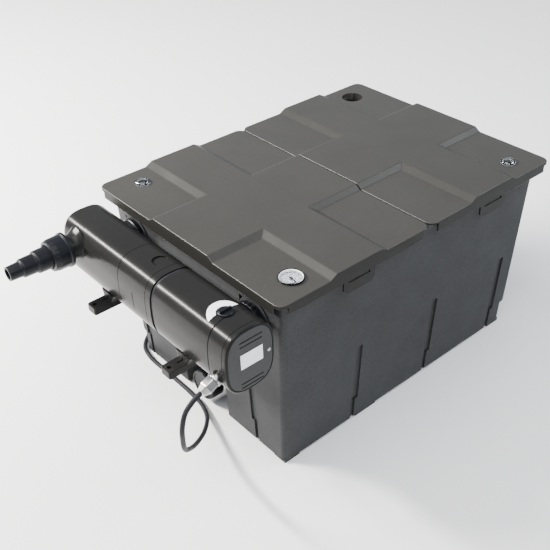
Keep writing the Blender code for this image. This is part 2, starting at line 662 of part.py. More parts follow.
def build_spare_port(dark, rubber):
    centre = (-PORT_X, PORT_FACE_Y, PORT_Z)
    gasket = ring_solid(centre, Y_AXIS, 0.0275, PORT_BORE - 0.001, -0.0020, -GAP)
    add_object("spare_port_gasket", gasket, rubber)
    plug = [(0.0275, -0.0023), (0.0290, -0.0030), (0.0290, -0.0075), (0.0270, -0.0095),
            (0.0200, -0.0095), (0.0190, -0.0070), (0.0050, -0.0070)]
    stem = [(PORT_BORE - 0.0015, 0.0240), (PORT_BORE - 0.0015, -0.0023)]
    spare = add_object("spare_port_plug", turned(centre, Y_AXIS, stem + plug, 24), dark, origin=centre)
    x, y, z = centre
    join(spare, box_tool((x - 0.016, y - 0.0105, z - 0.0025), (x + 0.016, y - 0.0060, z + 0.0025)))


def build_drain(dark, rubber):
    centre = (DRAIN_X, POCKET_BACK_Y, DRAIN_Z)
    pipe = [(0.0155, 0.0150), (0.0155, -0.0003), (0.0215, -0.0003), (0.0215, -0.0040),
            (0.0190, -0.0040), (0.0190, -0.0380), (0.0150, -0.0380), (0.0125, -0.0300),
            (0.0125, 0.0150)]
    add_object("drain_pipe", turned(centre, Y_AXIS, pipe, 24, closed=True), dark)
    seal = ring_solid(centre, Y_AXIS, 0.0185, 0.0150, -0.0403, -0.0383)
    add_object("drain_cap_seal", seal, rubber)
    cap = [(0.0195, -0.0230), (0.0255, -0.0230), (0.0275, -0.0250), (0.0275, -0.0460),
           (0.0262, -0.0490), (0.0235, -0.0490), (0.0235, -0.0478), (0.0050, -0.0478)]
    inner = [(0.0120, -0.0407), (0.0195, -0.0407)]
    rings = list(reversed(cap)) + [(0.0195, -0.0235)] + list(reversed(inner))
    add_object("drain_cap", turned(centre, Y_AXIS, rings, 24), dark, origin=centre)


def build_rear_outlet(dark):
    centre = (0, REAR_UPPER_Y, OUTLET_Z)
    pipe = [(0.0255, 0.0080), (0.0255, -0.0053), (0.0330, -0.0053), (0.0330, -0.0095),
            (0.0215, -0.0095), (0.0215, 0.0550), (0.0235, 0.0550), (0.0250, 0.0300),
            (0.0250, 0.0080)]
    add_object("outlet_pipe", turned(centre, Y_AXIS, pipe, 24, closed=True), dark)
    nut = ribbed_ring(centre, Y_AXIS, 0.0335, 0.0260, GAP, 0.0130, 10)
    add_object("outlet_lock_nut", nut, dark, origin=centre)


# ---------------------------------------------------------------- inside the tank
def build_divider(material):
    y0, y1 = -0.002, 0.002
    low_x, high_x, low_z, high_z = 0.183, 0.200, 0.0125, 0.312
    rings = [[Vector((-low_x, y, low_z)), Vector((low_x, y, low_z)), Vector((high_x, y, high_z)),
              Vector((-high_x, y, high_z))] for y in (y0, y1)]
    divider = add_object("divider_wall", skin(bmesh.new(), rings), material)
    for i in range(5):
        x = 0.070 * (i - 2)
        cut(divider, box_tool((x - 0.022, -0.01, 0.020), (x + 0.022, 0.01, 0.045)))


def grate(name, y0, y1, z, columns, rows, material):
    """A slotted tray on four posts."""
    half_x, sheet = 0.182, 0.005
    tray = add_object(name, box((-half_x, y0, z), (half_x, y1, z + sheet)), material)
    for sx in (-1, 1):
        for y in (y0 + 0.010, y1 - 0.010):
            x = sx * (half_x - 0.012)
            join(tray, round_tool((x, y, 0.0123), Z_AXIS, 0.006, 0.0, z - 0.0103, 12))
    pitch_x, pitch_y = 2 * half_x / columns, (y1 - y0) / rows
    for i in range(columns):
        for j in range(rows):
            x, y = -half_x + pitch_x * (i + 0.5), y0 + pitch_y * (j + 0.5)
            cut(tray, box_tool((x - pitch_x * 0.32, y - pitch_y * 0.34, z - 0.01),
                               (x + pitch_x * 0.32, y + pitch_y * 0.34, z + 0.02)))


def build_foams(foam, plastic):
    bottom, top = 0.1075, 0.236
    for index, x in enumerate((-0.118, 0.0, 0.118), start=1):
        block = [rectangle(x - 0.055, x + 0.055, -0.219, -0.015, 0.012, z) for z in (bottom, top)]
        pad = add_object("foam_block_%d" % index, skin(bmesh.new(), block), foam)
        centre = (x, -0.117, bottom)
        cut(pad, round_tool(centre, Z_AXIS, 0.0206, -0.01, 0.20, 16))
        core = [(0.0200, 0.0), (0.0200, top - bottom + 0.0010), (0.0380, top - bottom + 0.0015),
                (0.0380, top - bottom + 0.0050), (0.0175, top - bottom + 0.0050), (0.0175, 0.0)]
        add_object("foam_core_%d" % index, turned(centre, Z_AXIS, core, 16, closed=True), plastic)


def build_rear_media(mat, fine, media):
    layers = (("bio_media_bag", 0.0665, 0.1250, media), ("coarse_filter_mat", 0.1262, 0.1660, mat),
              ("fine_filter_mat", 0.1672, 0.2020, fine))
    for name, z0, z1, material in layers:
        rings = [rectangle(-0.176, 0.176, 0.016, 0.258, 0.014, z) for z in (z0, z1)]
        add_object(name, skin(bmesh.new(), rings), material)


# ---------------------------------------------------------------- power cord
def gland_tool(radius):
    return round_tool(GLAND_BASE, GLAND_DIRECTION, radius, -0.016, 0.02, 16)


def build_gland(chrome):
    bore = 0.0040
    body = [(0.0060, -0.0120), (0.0060, 0.0006), (0.0110, 0.0006), (0.0110, 0.0045), (0.0072, 0.0048),
            (0.0072, 0.0120), (bore, 0.0120), (bore, -0.0120)]
    add_object("gland_body", turned(GLAND_BASE, GLAND_DIRECTION, body, 16, closed=True), chrome)
    hexagon = [(0.0112, 0.0050), (0.0112, 0.0185), (0.0090, 0.0230), (0.0072, 0.0280)]
    nut = add_object("gland_nut", turned(GLAND_BASE, GLAND_DIRECTION, hexagon, 6), chrome)
    cut(nut, round_tool(GLAND_BASE, GLAND_DIRECTION, 0.0076, 0.0, 0.0124, 16))
    cut(nut, round_tool(GLAND_BASE, GLAND_DIRECTION, bore, 0.0, 0.04, 16))


def smooth_route(points, spacing):
    """Points at an even spacing along a smooth curve through the given points."""
    dense = []
    ends = [2 * points[0] - points[1]] + points + [2 * points[-1] - points[-2]]
    for p0, p1, p2, p3 in zip(ends, ends[1:], ends[2:], ends[3:]):
        for i in range(24):
            t = i / 24
            dense.append(0.5 * (2 * p1 + (p2 - p0) * t + (2 * p0 - 5 * p1 + 4 * p2 - p3) * t ** 2
                                + (3 * p1 - p0 - 3 * p2 + p3) * t ** 3))
    dense.append(points[-1])
    total = sum((b - a).length for a, b in zip(dense, dense[1:]))
    count = round(total / spacing)
    even, walked, target = [dense[0]], 0.0, total / count
    for a, b in zip(dense, dense[1:]):
        step = (b - a).length
        while walked + step >= target * len(even) and len(even) < count:
            even.append(a.lerp(b, (target * len(even) - walked) / step))
        walked += step
    return even + [dense[-1]]


def cord_route():
    """The stretch from the gland to the coil: down to the ground and round the tank's left side."""
    start = GLAND_BASE + GLAND_DIRECTION * GLAND_REACH
    ground = CORD_DIAMETER / 2 + GAP
    free = [start, start + GLAND_DIRECTION * 0.013, Vector((0.1900, -0.4390, 0.2225)),
            Vector((0.1888, -0.4455, 0.1990)), Vector((0.1840, -0.4440, 0.1740)),
            Vector((0.1690, -0.4340, 0.1360)), Vector((0.1440, -0.4120, 0.0990)),
            Vector((0.1120, -0.3780, 0.0620)), Vector((0.0740, -0.3370, 0.0310)),
            Vector((0.0340, -0.3030, 0.0105)), Vector((-0.0020, -0.2880, ground + 0.0006))]
    laid = [Vector((x, y, ground)) for x, y in (
        (-0.0350, -0.2845), (-0.0750, -0.2835), (-0.1200, -0.2835), (-0.1600, -0.2830),
        (-0.1960, -0.2730), (-0.2220, -0.2440), (-0.2350, -0.2050), (-0.2435, -0.1750),
        (-0.2465, -0.1495))]
    return free + laid


def plug_lead_route():
    """The last stretch, from the top of the coil to the plug."""
    return [Vector((-0.2475, -0.1510, 0.0281)), Vector((-0.2402, -0.1400, 0.0266)),
            Vector((-0.2350, -0.1200, 0.0232)), Vector((-0.2325, -0.1010, 0.0198)),
            PLUG_AT - Vector((0, GAP, 0))]


def tube(name, route, material):
    """A cord's plain solid along a smooth curve."""
    curve = bpy.data.curves.new(name, "CURVE")
    curve.dimensions = "3D"
    curve.bevel_depth = CORD_DIAMETER / 2
    curve.bevel_resolution = 2
    curve.use_fill_caps = True
    places = smooth_route(route, CORD_DIAMETER * 2.2)
    spline = curve.splines.new("POLY")
    spline.points.add(len(places) - 1)
    for point, place in zip(spline.points, places):
        point.co = (*place, 1.0)
    curve.materials.append(material)
    cable = bpy.data.objects.new(name, curve)
    bpy.context.scene.collection.objects.link(cable)


def build_cord(rubber, plastic, brass):
    tube("power_cable", cord_route(), rubber)
    tube("plug_lead", plug_lead_route(), rubber)
    low, high = COIL_BOTTOM, COIL_BOTTOM + 2 * COIL_HALF_BAND
    inner, outer = COIL_MEAN_RADIUS - COIL_HALF_BAND, COIL_MEAN_RADIUS + COIL_HALF_BAND
    edge = 0.003
    band = [(outer - edge, low), (outer, low + edge), (outer, high - edge), (outer - edge, high),
            (inner + edge, high), (inner, high - edge), (inner, low + edge), (inner + edge, low)]
    add_object("cable_coil", turned(COIL_CENTRE, Z_AXIS, band, 24, closed=True), rubber)
    build_tie(plastic)
    build_plug(plastic, brass)


def build_tie(plastic):
    """A flat strap round the coil's turns."""
    middle = COIL_CENTRE + Vector((0, COIL_MEAN_RADIUS, COIL_BOTTOM + COIL_HALF_BAND))
    across, high, strap = COIL_HALF_BAND + 0.0009, COIL_HALF_BAND + 0.0004, 0.0010
    rings = []
    for thick, x in ((strap, -0.0045), (strap, 0.0045), (0, 0.0045), (0, -0.0045)):
        rings.append([middle + Vector((x, sy * (across + thick), sz * (high + thick)))
                      for sy, sz in ((1, 1), (-1, 1), (-1, -1), (1, -1))])
    add_object("cable_tie", skin(bmesh.new(), rings, closed=True), plastic)


def build_plug(plastic, brass):
    """A round mains plug lying beside the coil."""
    body = [(0.0060, 0.0), (0.0085, 0.016), (0.0170, 0.022), (0.0185, 0.026), (0.0185, 0.046),
            (0.0175, 0.048)]
    add_object("plug_body", turned(PLUG_AT, Y_AXIS, body, 20), plastic)
    for name, side in (("plug_pin_front", -1), ("plug_pin_rear", 1)):
        at = PLUG_AT + Vector((side * 0.0095, 0.048 + GAP, 0))
        pin = [(0.0024, 0.0), (0.0024, 0.0170), (0.0014, 0.0190)]
        add_object(name, turned(at, Y_AXIS, pin, 12), brass)


# ---------------------------------------------------------------- whole filter
def build_filter():
    clear_scene()
    shell = make_material("shell_plastic", (0.055, 0.054, 0.052), 0.45)
    lid = make_material("lid_plastic", (0.105, 0.100, 0.092), 0.50)
    housing = make_material("housing_plastic", (0.060, 0.058, 0.055), 0.32)
    fitting = make_material("fitting_plastic", (0.030, 0.032, 0.040), 0.38)
    rubber = make_material("rubber", (0.020, 0.020, 0.024), 0.60)
    white = make_material("white_plate", (0.86, 0.87, 0.88), 0.45)
    glass = make_material("clear_cover", (0.80, 0.84, 0.86), 0.05, alpha=0.35)
    quartz = make_material("quartz", (0.85, 0.88, 0.90), 0.03, alpha=0.35)
    lamp = make_material("lamp_glass", (0.90, 0.92, 0.95), 0.20)
    steel = make_material("steel", (0.70, 0.71, 0.72), 0.25, metallic=1.0)
    chrome = make_material("chrome", (0.80, 0.81, 0.82), 0.14, metallic=1.0)
    brass = make_material("pin_metal", (0.75, 0.70, 0.55), 0.25, metallic=1.0)
    red = make_material("pointer", (0.08, 0.05, 0.05), 0.40)
    float_material = make_material("float_plastic", (0.70, 0.12, 0.08), 0.40)
    foam = make_material("blue_foam", (0.05, 0.16, 0.36), 0.95)
    coarse = make_material("coarse_mat", (0.10, 0.24, 0.12), 0.95)
    fine = make_material("fine_foam", (0.10, 0.10, 0.11), 0.95)
    media = make_material("media_net", (0.55, 0.52, 0.46), 0.90)

    build_tank(shell)
    build_lids(lid)
    build_thermometer(fitting, white, red, glass)
    build_indicator("front", -FITTING_X, -FITTING_Y, glass, float_material)
    build_indicator("rear", FITTING_X, FITTING_Y, glass, float_material)
    build_inlet_chamber(housing)
    build_outlet_chamber(housing)
    build_seal_ring(rubber)
    build_head(housing, shell, white, steel)
    build_lock(fitting, white)
    build_lamp(quartz, lamp, fitting, rubber, steel)
    build_inlet(fitting)
    build_outlet_union(fitting, rubber)
    build_spare_port(fitting, rubber)
    build_drain(fitting, rubber)
    build_rear_outlet(fitting)
    build_divider(shell)
    grate("front_support_grate", -0.2220, -0.0080, 0.1020, 4, 3, fitting)
    grate("rear_support_grate", 0.0080, 0.2620, 0.0610, 4, 3, fitting)
    build_foams(foam, fitting)
    build_rear_media(coarse, fine, media)
    build_gland(chrome)
    build_cord(rubber, fitting, brass)


build_filter()
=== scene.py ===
import json
from math import acos, atan2, copysign, cos, pi, radians, sin

import bmesh
import bpy
from mathutils import Matrix, Vector, noise


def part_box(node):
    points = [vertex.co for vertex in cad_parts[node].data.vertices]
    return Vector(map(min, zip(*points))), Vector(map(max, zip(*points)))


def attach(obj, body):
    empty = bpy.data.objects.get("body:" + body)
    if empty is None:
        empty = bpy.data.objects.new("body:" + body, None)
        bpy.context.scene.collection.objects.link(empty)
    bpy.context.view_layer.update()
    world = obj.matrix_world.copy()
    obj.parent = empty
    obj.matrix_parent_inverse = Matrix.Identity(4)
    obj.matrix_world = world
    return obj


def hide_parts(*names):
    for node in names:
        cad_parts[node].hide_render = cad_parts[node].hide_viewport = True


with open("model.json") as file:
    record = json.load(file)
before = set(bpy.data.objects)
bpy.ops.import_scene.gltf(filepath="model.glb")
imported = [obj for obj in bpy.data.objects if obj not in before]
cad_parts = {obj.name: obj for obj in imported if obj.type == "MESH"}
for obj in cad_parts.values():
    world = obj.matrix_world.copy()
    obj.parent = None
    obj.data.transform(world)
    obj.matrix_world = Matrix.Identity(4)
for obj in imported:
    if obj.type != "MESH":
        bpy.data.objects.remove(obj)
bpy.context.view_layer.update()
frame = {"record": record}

RECORD = frame["record"]
BODY_OF = {node: body for body, nodes in RECORD["behaviour"]["bodies"].items() for node in nodes}
SLOT_OF = {row["node"]: row["material_slot"] for row in RECORD["subparts"]}

X_AXIS, Y_AXIS, Z_AXIS = Vector((1, 0, 0)), Vector((0, 1, 0)), Vector((0, 0, 1))
GAP = 0.0003

CAMERA_AT = (0.9119, -0.8775, 1.0382)
CAMERA_YAW, CAMERA_PITCH, CAMERA_ROLL = 50.21, 35.46, -1.86
SENSOR, FOCAL, PICTURE_WIDTH = 36.0, 869.5, 550     # sensor in mm; focal length and picture width in one unit
FLOOR_REACH, FLOOR_GREY = 8, 0.78
SKY, SKY_STRENGTH = (0.82, 0.9, 1.0, 1), 0.72
WARM_WHITE = (1.0, 0.97, 0.93)


def link(obj):
    bpy.context.scene.collection.objects.link(obj)


# ------------------------------------------------------------------ camera
yaw, pitch, roll = (radians(angle) for angle in (CAMERA_YAW, CAMERA_PITCH, CAMERA_ROLL))
back = Vector((sin(yaw) * cos(pitch), -cos(yaw) * cos(pitch), sin(pitch)))
right = Vector((cos(yaw), sin(yaw), 0))
up = back.cross(right)
cam_right = cos(roll) * right + sin(roll) * up
cam_up = -sin(roll) * right + cos(roll) * up
camera_data = bpy.data.cameras.new("camera")
camera_data.sensor_width = SENSOR
camera_data.lens = SENSOR * FOCAL / PICTURE_WIDTH
camera = bpy.data.objects.new("camera", camera_data)
camera.matrix_world = Matrix.Translation(CAMERA_AT) @ Matrix((cam_right, cam_up, back)).transposed().to_4x4()
link(camera)
bpy.context.scene.camera = camera

# ------------------------------------------------------------------ studio
floor_mesh = bpy.data.meshes.new("floor")
corners = [(FLOOR_REACH * x, FLOOR_REACH * y, 0) for x, y in ((-1, -1), (1, -1), (1, 1), (-1, 1))]
floor_mesh.from_pydata(corners, [], [(0, 1, 2, 3)])
floor = bpy.data.objects.new("floor", floor_mesh)
link(floor)
floor_paint = bpy.data.materials.new("floor_paint")
floor_paint.use_nodes = True
floor_shader = floor_paint.node_tree.nodes["Principled BSDF"]
floor_shader.inputs["Base Color"].default_value = (FLOOR_GREY, FLOOR_GREY, FLOOR_GREY, 1)
floor_shader.inputs["Roughness"].default_value = 0.9
floor_mesh.materials.append(floor_paint)

world = bpy.data.worlds.new("studio")
world.use_nodes = True
sky = world.node_tree.nodes["Background"]
sky.inputs["Color"].default_value = SKY
sky.inputs["Strength"].default_value = SKY_STRENGTH
bpy.context.scene.world = world


def lamp(name, place, target, size, power, colour):
    data = bpy.data.lights.new(name, "AREA")
    data.shape = "RECTANGLE"
    data.size, data.size_y = size
    data.energy = power
    data.color = colour
    obj = bpy.data.objects.new(name, data)
    obj.location = place
    obj.rotation_euler = (Vector(target) - Vector(place)).to_track_quat("-Z", "Y").to_euler()
    link(obj)


lamp("key", (-1.75, -1.475, 1.6), (-1.75, -0.375, 0.32), (1.7, 0.18), 370, WARM_WHITE)
lamp("overhead", (0.0, -1.3, 2.9), (0, -0.2, 0.3), (2.4, 1.6), 105, WARM_WHITE)
lamp("rear fill", (1.4, 2.2, 2.2), (0.6, 0.6, 0.0), (1.6, 1.6), 70, (0.9, 0.95, 1.0))
lamp("right fill", (2.4, -1.0, 2.8), (1.0, -0.1, 0.0), (1.8, 1.8), 55, (0.97, 0.98, 1.0))

# ------------------------------------------------------------------ materials
MATERIALS = {}


def node(tree, kind, inputs=None, **attributes):
    made = tree.nodes.new(kind)
    for key, value in attributes.items():
        setattr(made, key, value)
    for key, value in (inputs or {}).items():
        made.inputs[key].default_value = value
    return made


def new_material(name, colour, roughness, sockets=None):
    material = bpy.data.materials.new(name)
    material.use_nodes = True
    tree = material.node_tree
    shader = tree.nodes["Principled BSDF"]
    shader.inputs["Base Color"].default_value = (*colour, 1)
    shader.inputs["Roughness"].default_value = roughness
    for key, value in (sockets or {}).items():
        shader.inputs[key].default_value = value
    MATERIALS[name] = material
    return tree, shader, node(tree, "ShaderNodeTexCoord").outputs["Object"]


def stretched(tree, place, scale):
    if not scale:
        return place
    mapping = node(tree, "ShaderNodeMapping", {"Scale": scale})
    tree.links.new(place, mapping.inputs["Vector"])
    return mapping.outputs["Vector"]


def noise_node(tree, place, scale, detail=3.0, roughness=0.5, stretch=None):
    made = node(tree, "ShaderNodeTexNoise", {"Scale": scale, "Detail": detail, "Roughness": roughness})
    tree.links.new(stretched(tree, place, stretch), made.inputs["Vector"])
    return made.outputs["Fac"]


def tint(tree, shader, value, colour, *stops):
    """Base colour that follows value. Each stop holds a position and a factor on the colour."""
    made = node(tree, "ShaderNodeValToRGB")
    for element, (position, factor) in zip(made.color_ramp.elements, stops):
        element.position = position
        element.color = (*(min(c * factor, 1.0) for c in colour), 1)
    tree.links.new(value, made.inputs["Fac"])
    tree.links.new(made.outputs["Color"], shader.inputs["Base Color"])


def smear(tree, shader, value, low, high):
    """Roughness that follows value."""
    made = node(tree, "ShaderNodeMapRange", {"From Min": 0.3, "From Max": 0.7, "To Min": low, "To Max": high})
    tree.links.new(value, made.inputs["Value"])
    tree.links.new(made.outputs["Result"], shader.inputs["Roughness"])


def bump(tree, shader, height, strength, distance, before=None):
    made = node(tree, "ShaderNodeBump", {"Strength": strength, "Distance": distance})
    tree.links.new(height, made.inputs["Height"])
    if before is not None:
        tree.links.new(before, made.inputs["Normal"])
    tree.links.new(made.outputs["Normal"], shader.inputs["Normal"])
    return made.outputs["Normal"]


def moulded(name, colour, roughness, grain=1400.0, depth=0.00006, mottle=0.1, uneven=0.05, specular=0.5):
    """Moulded plastic: a fine grain, faint cloudiness, roughness that drifts over the surface."""
    tree, shader, place = new_material(name, colour, roughness, {"Specular IOR Level": specular})
    cloud = noise_node(tree, place, 7.0, 5.0, 0.62)
    speck = noise_node(tree, place, 260.0, 3.0, 0.6)
    both = node(tree, "ShaderNodeMath", operation="ADD")
    tree.links.new(cloud, both.inputs[0])
    tree.links.new(speck, both.inputs[1])
    half = node(tree, "ShaderNodeMath", {1: 0.5}, operation="MULTIPLY")
    tree.links.new(both.outputs[0], half.inputs[0])
    tint(tree, shader, half.outputs[0], colour, (0.38, 1 - mottle), (0.62, 1 + mottle))
    smear(tree, shader, noise_node(tree, place, 16.0, 4.0, 0.6), roughness - uneven, roughness + uneven)
    first = bump(tree, shader, noise_node(tree, place, grain, 2.0, 0.6), 0.5, depth)
    bump(tree, shader, noise_node(tree, place, 26.0, 2.0, 0.5), 0.25, 0.00025, first)


def soft_rubber(name, colour, roughness):
    tree, shader, place = new_material(name, colour, roughness, {"Specular IOR Level": 0.12})
    tint(tree, shader, noise_node(tree, place, 90.0, 4.0), colour, (0.3, 0.8), (0.7, 1.35))
    smear(tree, shader, noise_node(tree, place, 40.0), roughness - 0.06, roughness + 0.08)
    bump(tree, shader, noise_node(tree, place, 900.0, 2.0), 0.3, 0.00005)


def metal(name, colour, roughness, brush=None):
    tree, shader, place = new_material(name, colour, roughness, {"Metallic": 1.0})
    tint(tree, shader, noise_node(tree, place, 120.0, 4.0), colour, (0.3, 0.86), (0.7, 1.04))
    smear(tree, shader, noise_node(tree, place, 70.0, 4.0), roughness * 0.7, roughness * 1.4)
    bump(tree, shader, noise_node(tree, place, 500.0, stretch=brush), 0.12, 0.00003)


def clear(name, colour, roughness):
    tree, shader, place = new_material(name, colour, roughness, {"Transmission Weight": 1.0, "IOR": 1.46})
    smear(tree, shader, noise_node(tree, place, 60.0), roughness * 0.6, roughness * 1.8)
    bump(tree, shader, noise_node(tree, place, 35.0, 2.0), 0.06, 0.0001)


def porous(name, colour, cell, depth=0.0012, squash=None):
    """Foam or fibre: painted shade in the pores between lighter struts."""
    tree, shader, place = new_material(name, colour, 0.95, {"Sheen Weight": 0.25})
    cells = node(tree, "ShaderNodeTexVoronoi", {"Scale": cell}, feature="SMOOTH_F1")
    tree.links.new(stretched(tree, place, squash), cells.inputs["Vector"])
    # painted shade: the colour darkens towards each pore's middle
    tint(tree, shader, cells.outputs["Distance"], colour, (0.05, 0.3), (0.5, 1.25))
    first = bump(tree, shader, cells.outputs["Distance"], 1.0, depth)
    bump(tree, shader, noise_node(tree, place, cell * 0.35, 4.0), 0.6, depth * 1.5, first)


def plate(name, colour, roughness):
    tree, shader, place = new_material(name, colour, roughness)
    tint(tree, shader, noise_node(tree, place, 60.0, 5.0, 0.65), colour, (0.35, 0.93), (0.65, 1.03))
    bump(tree, shader, noise_node(tree, place, 700.0, 2.0), 0.15, 0.00003)


moulded("shell_plastic", (0.03, 0.0306, 0.0322), 0.44, mottle=0.2, specular=0.08)
moulded("lid_plastic", (0.027, 0.0258, 0.0234), 0.36, grain=1100.0, depth=0.00008, mottle=0.1, specular=0.28)
moulded("housing_plastic", (0.0105, 0.0103, 0.0102), 0.23, grain=900.0, depth=0.00002, uneven=0.03,
        specular=0.08)
moulded("panel_plastic", (0.036, 0.036, 0.036), 0.4, specular=0.12)
# a darker copy of the lid plastic: painted shade for the lids' upright faces
moulded("lid_side_painted_shade", (0.015, 0.0143, 0.0132), 0.42, specular=0.1)
plate("scale_marks", (0.42, 0.42, 0.44), 0.5)
moulded("fitting_plastic", (0.0055, 0.006, 0.008), 0.34, grain=1600.0, specular=0.16)
soft_rubber("rubber", (0.012, 0.012, 0.015), 0.55)
plate("white_plate", (0.82, 0.83, 0.85), 0.45)
clear("clear_cover", (0.93, 0.95, 0.96), 0.03)
clear("quartz", (0.95, 0.97, 0.98), 0.02)
plate("lamp_glass", (0.85, 0.88, 0.92), 0.2)
metal("steel", (0.62, 0.63, 0.64), 0.28)
metal("chrome", (0.4, 0.39, 0.38), 0.22)
metal("pin_metal", (0.74, 0.7, 0.56), 0.25, brush=(1, 0.1, 1))
moulded("pointer", (0.02, 0.02, 0.025), 0.4)
moulded("float_plastic", (0.11, 0.11, 0.115), 0.4)
porous("blue_foam", (0.05, 0.15, 0.34), 420.0)
porous("coarse_mat", (0.07, 0.2, 0.1), 300.0, depth=0.002, squash=(1, 1, 3))
porous("fine_foam", (0.09, 0.09, 0.1), 800.0, depth=0.0008)
porous("media_net", (0.5, 0.46, 0.4), 120.0, depth=0.003)

# ------------------------------------------------------------------ shared dimensions
LID_HALF_X, LID_DEPTH, LID_SEAM, LID_PAD_Z = 0.225, 0.298, 0.002, 0.343
LID_CENTRE_Y = (LID_DEPTH + LID_SEAM) / 2
LID_STEP, LID_SHEET, LID_CORNER, LID_SKIRT = 0.007, 0.003, 0.014, 0.018
CROSS_X, CROSS_Y = (0.068, 0.079), (0.044, 0.057)
FITTING_X, FITTING_Y = 0.182, 0.241
TANK_TOP, TANK_FOOT, TANK_STEP_Z, TANK_WALL, TANK_CORNER = 0.3395, 0.005, 0.046, 0.005, 0.01
TANK_BASE_X, TANK_BASE_Y, TANK_DRAFT_HEIGHT = 0.191, 0.2695, 0.323
TANK_DRAFT_X, TANK_DRAFT_Y, REAR_UPPER_Y, LEFT_UPPER_STEP = 0.02, 0.0135, 0.278, 0.0065
RIM_HALF_X, RIM_HALF_Y, RIM_HEIGHT = 0.2214, 0.2953, 0.006
GROOVE_DEPTH, GROOVE_WIDE, GROOVE_NARROW = 0.003, 0.014, 0.008
POCKET_X, POCKET_BACK_Y, POCKET_TOP = (-0.064, 0.05), -0.23, 0.096
PORT_X, PORT_Z, PORT_BORE, PORT_FACE_Y = 0.149, 0.278, 0.0195, -0.2845
DRAIN_X, DRAIN_Z, OUTLET_Z = -0.007, 0.039, 0.245
UV_Y, UV_Z, UV_HALF_Y, UV_HALF_Z, UV_POWER, UV_WALL = -0.3436, 0.2781, 0.0419, 0.0525, 2.94, 0.004
UV_LEFT, UV_RING_X, UV_SEAM_X, UV_RIGHT = -0.2073, (0.0415, 0.0465), 0.176, 0.215
LOCK_AT = Vector((0.168, -0.3457, 0.3306))
INLET_X, INLET_Z, LUG_X, LUG_TOP = -0.163, 0.2955, 0.1, 0.223
CORD_DIAMETER = 0.0075
GLAND_BASE = Vector((0.19, -0.385, 0.252))
GLAND_DIRECTION = Vector((0.0, -0.927, -0.375)).normalized()
GLAND_REACH = 0.0285
COIL_CENTRE = Vector((-0.3045, -0.12, 0.0))
COIL_MEAN_RADIUS, COIL_HALF_BAND, COIL_BOTTOM = 0.0455, 0.0155, 0.0018
PLUG_AT = Vector((-0.232, -0.085, 0.0188))
UV_POINTS = 112                      # points round the clarifier's outline
FEET = ((0.164, 0.19, -0.268, -0.237), (-0.19, -0.164, -0.268, -0.237), (0.164, 0.19, 0.237, 0.268),
        (-0.19, -0.164, 0.237, 0.268), (0.172, 0.19, -0.112, -0.064), (-0.19, -0.172, -0.112, -0.064),
        (-0.03, 0.03, -0.03, 0.03))
SIDE_GROOVE_Y, SIDE_GROOVE_TOP = (-0.119, 0.057, 0.233), 0.163
FRONT_GROOVE_X, FRONT_GROOVE_TOP = (-0.173, 0.122), 0.3
PORT_BOSS, DRAIN_PIPE, OUTLET_PIPE = 0.033, 0.0155, 0.0255
LATCH_HALF, LATCH_TOP, LATCH_BEVEL_Z, LATCH_FOOT = 0.031, 0.3255, 0.311, 0.3045
LATCH_SLOT_HALF, LATCH_SLOT_Z = 0.021, (0.3215, 0.3265)
SKIRT_CORNER, SKIRT_CUT_FROM = 0.016, 0.3
LUG_HALF, LUG_THICK, LUG_EDGE, LUG_Y = 0.01125, 0.014, 0.0012, (-0.409, -0.335)
END_ROUND = 0.01
LABEL_Y, LABEL_Z = (-0.361, -0.323), (0.268, 0.2925)
VENT_Z, VENT_HALF = (0.3125, 0.305, 0.242, 0.235), 0.0011
TRAY_HALF_X, TRAY_SHEET = 0.182, 0.005
FOAM_Y, FOAM_Z, FOAM_X = -0.117, (0.1075, 0.236), (-0.118, 0.0, 0.118)


# ------------------------------------------------------------------ mesh helpers
def add_object(name, bm):
    bmesh.ops.recalc_face_normals(bm, faces=bm.faces)
    mesh = bpy.data.meshes.new(name)
    bm.to_mesh(mesh)
    bm.free()
    mesh.shade_smooth()
    obj = bpy.data.objects.new(name, mesh)
    link(obj)
    return obj


def crease(obj, degrees=50):
    obj.data.set_sharp_from_angle(angle=radians(degrees))


def cut(target, tool, operation="DIFFERENCE"):
    modifier = target.modifiers.new(operation.lower(), "BOOLEAN")
    modifier.operation = operation
    modifier.solver = "EXACT"
    modifier.object = tool


def join(target, tool):
    cut(target, tool, "UNION")


def settle(obj, rounding=0.0, segments=2, angle=32, sharp=42):
    """Apply the Booleans, round the edges, and give the faces clean normals."""
    tools = [m.object for m in obj.modifiers if m.type == "BOOLEAN"]
    if rounding:
        edge = obj.modifiers.new("round", "BEVEL")
        edge.width = rounding
        edge.segments = segments
        edge.limit_method = "ANGLE"
        edge.angle_limit = radians(angle)
    bake(obj)
    obj.data.shade_smooth()
    crease(obj, sharp)
    even = obj.modifiers.new("even", "WEIGHTED_NORMAL")
    even.keep_sharp = True
    bake(obj)
    for tool in tools:
        bpy.data.objects.remove(tool, do_unlink=True)
    return obj


def settle_as(obj, node_name, *rounding, material=None, **how):
    settle(obj, *rounding, **how)
    stand_for(obj, node_name, material)


def bake(obj):
    if not obj.modifiers:
        return
    graph = bpy.context.evaluated_depsgraph_get()
    mesh = bpy.data.meshes.new_from_object(obj.evaluated_get(graph))
    obj.modifiers.clear()
    obj.data = mesh


def dress(obj, name, body, slot, material=None):
    """Name a piece, give it its material (its slot's material unless another is named), and set the body that it
    rides on.
    """
    obj.name = name
    obj.data.materials.clear()
    obj.data.materials.append(MATERIALS[material or slot])
    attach(obj, body)


def stand_for(obj, node_name, material=None):
    """This piece takes the place and the finish of a CAD node, and rides with it."""
    dress(obj, node_name + "_look", BODY_OF[node_name], SLOT_OF[node_name], material)
    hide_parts(node_name)


def band(bm, low, high):
    """A closed strip of faces between two rows of vertices."""
    for i in range(len(low)):
        j = (i + 1) % len(low)
        bm.faces.new((low[i], low[j], high[j], high[i]))


